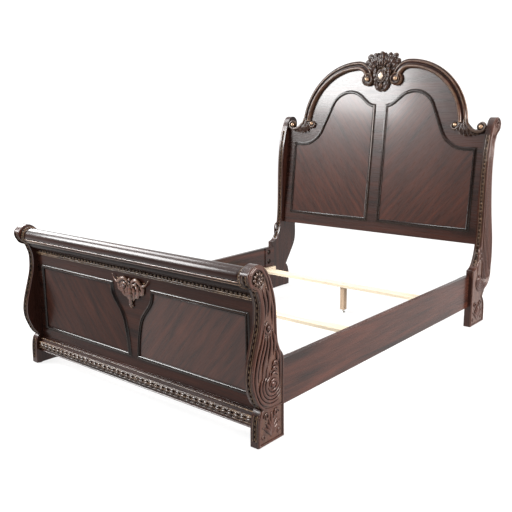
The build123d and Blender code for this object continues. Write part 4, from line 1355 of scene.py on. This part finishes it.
class BED_OT_crest(bpy.types.Operator):
    """Carved leaf crest with its jewel"""

    bl_idname = "bed.crest"
    bl_label = "Crest"

    def execute(self, context):
        place = head_place()
        body = merged_copy("headboard_crest", "body")
        away = place.inverted()
        for point in body.data.vertices:
            local = away @ point.co
            if local.z > 0.001:
                local.z = 0.014
            local.x *= 0.78
            local.y = slope(1.640) + (local.y - slope(1.640)) * 0.88
            point.co = place @ local
        apply(body, "BEVEL", width=0.004, segments=2, limit_method="ANGLE", angle_limit=radians(40))
        right = []
        spines = [
            ([(40, 1640, 6), (78, 1656, 10), (112, 1676, 10), (138, 1676, 4)], 15, 3, 6),
            ([(38, 1650, 10), (78, 1678, 16), (112, 1710, 14), (140, 1706, 6)], 19, 3, 10),
            ([(34, 1660, 16), (62, 1700, 20), (92, 1742, 18), (122, 1738, 8)], 22, 3, 14),
            ([(22, 1668, 22), (42, 1708, 24), (56, 1746, 22), (74, 1762, 12)], 21, 3, 12),
            ([(48, 1676, 22), (54, 1630, 22), (44, 1584, 20), (10, 1534, 16)], 16.5, 5, 3),
            ([(36, 1604, 18), (46, 1574, 14), (36, 1540, 12), (4, 1510, 10)], 17, 3, 3),
        ]
        blades = both_blades(spines, place, slope)
        for x, spread in ((-0.020, -0.012), (0.020, 0.012), (0.0, 0.0)):
            line = [(x * 0.6, slope(1.672), 0.028), (x, slope(1.708), 0.030),
                    (x + spread * 0.5, slope(1.748), 0.029 - abs(x) * 0.3),
                    (x + spread, slope(1.776) - abs(x) * 0.6, 0.024)]
            blades.append(blade(line, 0.0240 - 0.006 * (x != 0), place, 4, 0.016))
        for k in range(2):
            x = 0.009 + 0.016 * k
            top, low = 1.716 - 0.006 * k, 1.674 - 0.002 * k
            stem = [(x * 1.5, slope(top)), (x * 1.1, slope((top + low) / 2)), (x * 0.9, slope(low))]
            right.append(tapered(stem, 0.0066, 0.038 - 0.003 * k, (0.35, 0.5), 0.5, 0.003))
        left = [[(-x, z, out, size) for x, z, out, size in line] for line in right]
        stem = [(0, slope(z)) for z in (1.572, 1.548, 1.520)]
        drop = tapered(stem, 0.014, 0.024, (0.5, 0.2), 0.4)
        leaves = strands([*right, *left, drop], place, "leaves", flat=0.95, sides=4, smoothness=6)
        tips = mm([(56, 1676, 38, 12.5), (9, 1668, 44, 6.2), (24, 1670, 40, 5.8)])
        knobs = [ball(place, (way * x, slope(z), out), size, flat=0.9)
                 for x, z, out, size in tips for way in (-1, 1)]
        centre = (0, slope(1.611))
        hoops = [hoop(centre, *sizes, 16) for sizes in
                 ((0.0200, 0.0285, 0.036, 0.0048), (0.0330, 0.0425, 0.028, 0.0050))]
        rings = [strands([line], place, "ring", flat=1.0, sides=4, closed=True) for line in hoops]
        beads = []
        for k in range(22):
            a = 2 * pi * k / 22
            beads.append(ball(place, (0.0265 * cos(a), centre[1] + 0.0355 * sin(a), 0.033), 0.0032,
                              rings=5))
        crest = join([body, leaves, *blades, *rings, *knobs, *beads], "headboard_crest_carving")
        smooth(crest, 50)
        place_on_bed(crest, carved("Crest carving", 0.55), "headboard_crest")
        jewel = ball(place, (0, centre[1], 0.036), 0.0158, flat=0.62, stretch=1.42, rings=20)
        jewel.name = jewel.data.name = "headboard_jewel"
        smooth(jewel, 60)
        gem = plain("Pale cabochon", "cabochon", (0.62, 0.52, 0.42), 0.14, 0.35, 0.12, 90.0)
        place_on_bed(jewel, gem, "headboard_crest_jewel")
        return {"FINISHED"}


# ---------------------------------------------------------------- hardware
class BED_OT_hardware(bpy.types.Operator):
    """Bolts, washers, levelling feet and glides"""

    bl_idname = "bed.hardware"
    bl_label = "Hardware"

    def execute(self, context):
        zinc = plain("Zinc plated steel", "fastener_steel", (0.50, 0.50, 0.48), 0.34, 1.0, 0.10,
                     140.0)
        nylon = plain("Black nylon", "glide_nylon", (0.03, 0.03, 0.03), 0.55, 0.0, 0.2, 220.0)
        for name in ("rail_bolts", "rail_bolt_washers", "rail_bolt_nuts", "leg_bolts",
                     "leg_inserts", "wood_screws"):
            wear(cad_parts[name], zinc)
        wear(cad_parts["post_glides"], nylon)
        for end in ("foot", "middle", "head"):
            node_name = f"{end}_leveller"
            low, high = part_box(node_name)
            middle = (low + high) / 2
            pad = (high.x - low.x) / 2
            stem = 0.0040
            top = high.z
            profile = [(0, 0), (0, pad - 0.001), (0.001, pad), (0.003, pad), (0.008, pad - 0.004),
                       (0.009, pad - 0.005), (0.009, stem)]
            z = 0.010
            while z < top - 0.003:
                profile += [(z, stem), (z + 0.00055, stem - 0.0005), (z + 0.0011, stem)]
                z += 0.0014
            profile += [(top - 0.001, stem), (top, stem - 0.001), (top, 0)]
            piece = turned(profile, (middle.x, middle.y, 0), f"{end}_levelling_screw", axis="Z",
                           steps=32)
            smooth(piece, 30)
            place_on_bed(piece, zinc, node_name, body=f"{end}_levelling_foot")
        return {"FINISHED"}


# ---------------------------------------------------------------- studio
CAMERA_PLACE = (2.59026, RAIL_FOOT - 2.25399, 1.41592)
CAMERA_TURN = (radians(40.17), radians(12.03), radians(0.54))  # yaw, pitch down and roll
CAMERA_SENSOR, CAMERA_LENS = 36.0, 49.454296875                # millimetres


class BED_OT_studio(bpy.types.Operator):
    """Pale floor, soft lights and camera"""

    bl_idname = "bed.studio"
    bl_label = "Studio"

    def execute(self, context):
        studio = context.scene.bed_studio
        deselect()
        bpy.ops.mesh.primitive_plane_add(size=60, location=(0, 0, -0.0005))
        floor = context.object
        floor.name = "studio_floor"
        pale = bpy.data.materials.new("Pale floor")
        pale.use_nodes = True
        feed(pale.node_tree, pale.node_tree.nodes["Principled BSDF"],
             {"Base Color": colour(studio.floor, 0.16), "Roughness": 0.9, "Specular IOR Level": 0.0,
              "Emission Color": colour(studio.floor), "Emission Strength": 0.90})
        floor.data.materials.append(pale)
        self.surround(context, studio.sky)
        self.light("Key", (-4.1, -3.8, 3.5), (-0.1, 1.1, 1.4), 2.7, 1.9, studio.key)
        self.light("Left", (-4.5, -0.1, 3.6), (0, -1.19, 0.74), 1.8, 3.4, studio.side)
        fill = self.light("Right", (5.4, 0.6, 2.2), (0.8, -0.2, 0.5), 3.0, 2.0, studio.front)
        fill.data.color = (1.0, 0.88, 0.82)
        bpy.ops.object.light_add(type="SUN", location=(0, 0, 5),
                                 rotation=(radians(8), radians(-6), 0))
        sun = context.object
        sun.name = "Overhead"
        sun.data.angle = radians(70)
        sun.data.energy = studio.overhead
        yaw, pitch, roll = CAMERA_TURN
        forward = Vector((-sin(yaw) * cos(pitch), cos(yaw) * cos(pitch), -sin(pitch)))
        across = Vector((cos(yaw), sin(yaw), 0))
        down = forward.cross(across)
        right = cos(roll) * across + sin(roll) * down
        below = -sin(roll) * across + cos(roll) * down
        bpy.ops.object.camera_add(location=CAMERA_PLACE)
        camera = context.object
        camera.data.sensor_width = CAMERA_SENSOR
        camera.data.lens = CAMERA_LENS
        turn = Matrix((right, -below, -forward)).transposed().to_4x4()
        camera.matrix_world = Matrix.Translation(camera.location) @ turn
        context.scene.camera = camera
        context.scene.view_settings.view_transform = "Standard"
        return {"FINISHED"}

    def surround(self, context, strength):
        """A surround that is white beyond the bed and dim on the camera's side."""
        world = bpy.data.worlds.new("White surround")
        world.use_nodes = True
        tree = world.node_tree
        beyond = node(tree, "VectorMath", {0: node(tree, "TexCoord").outputs["Generated"],
                                           1: (-0.645, 0.764, 0.25)}, operation="DOT_PRODUCT")
        share = ranged(tree, beyond.outputs["Value"], 0.0, 0.75, 0.22 * strength, strength)
        feed(tree, tree.nodes["Background"], {"Color": (1, 1, 1, 1), "Strength": share})
        context.scene.world = world

    def light(self, name, place, aim, wide, tall, power):
        """Add a soft rectangular light at place that points at aim."""
        bpy.ops.object.light_add(type="AREA", location=place)
        lamp = bpy.context.object
        lamp.name = name
        lamp.data.shape = "RECTANGLE"
        lamp.data.size = wide
        lamp.data.size_y = tall
        lamp.data.energy = power
        way = Vector(aim) - Vector(place)
        lamp.rotation_euler = way.to_track_quat("-Z", "Y").to_euler()
        return lamp


STEPS = ("boards", "post_beading", "foot_post_carving", "head_post_carving", "footboard_roll",
         "bead_moulding", "base_carving", "field_mouldings", "footboard_ornament", "arch_mouldings",
         "corner_scrolls", "crest", "hardware", "studio")


class BED_PT_panel(bpy.types.Panel):
    """Sleigh bed tools"""

    bl_idname = "BED_PT_panel"
    bl_label = "Sleigh Bed"
    bl_space_type = "VIEW_3D"
    bl_region_type = "UI"
    bl_category = "Bed"

    def draw(self, context):
        for step in STEPS:
            self.layout.operator("bed." + step)
        for settings in (context.scene.bed_carving, context.scene.bed_finish,
                         context.scene.bed_studio):
            for key in settings.bl_rna.properties.keys():
                if key not in ("rna_type", "name"):
                    self.layout.prop(settings, key)


CLASSES = (
    BedCarving, BedFinish, BedStudio, BED_OT_boards, BED_OT_post_beading, BED_OT_foot_post_carving,
    BED_OT_head_post_carving, BED_OT_footboard_roll, BED_OT_bead_moulding, BED_OT_base_carving,
    BED_OT_field_mouldings, BED_OT_footboard_ornament, BED_OT_arch_mouldings, BED_OT_corner_scrolls,
    BED_OT_crest, BED_OT_hardware, BED_OT_studio, BED_PT_panel,
)


def register():
    """Add the classes and their settings."""
    for one in CLASSES:
        bpy.utils.register_class(one)
    bpy.types.Scene.bed_carving = bpy.props.PointerProperty(type=BedCarving)
    bpy.types.Scene.bed_finish = bpy.props.PointerProperty(type=BedFinish)
    bpy.types.Scene.bed_studio = bpy.props.PointerProperty(type=BedStudio)


def unregister():
    """Remove the classes and their settings."""
    del bpy.types.Scene.bed_studio
    del bpy.types.Scene.bed_finish
    del bpy.types.Scene.bed_carving
    for one in reversed(CLASSES):
        bpy.utils.unregister_class(one)


def main():
    """Build every piece in order."""
    register()
    for step in STEPS:
        getattr(bpy.ops.bed, step)()


if __name__ == "__main__":
    main()
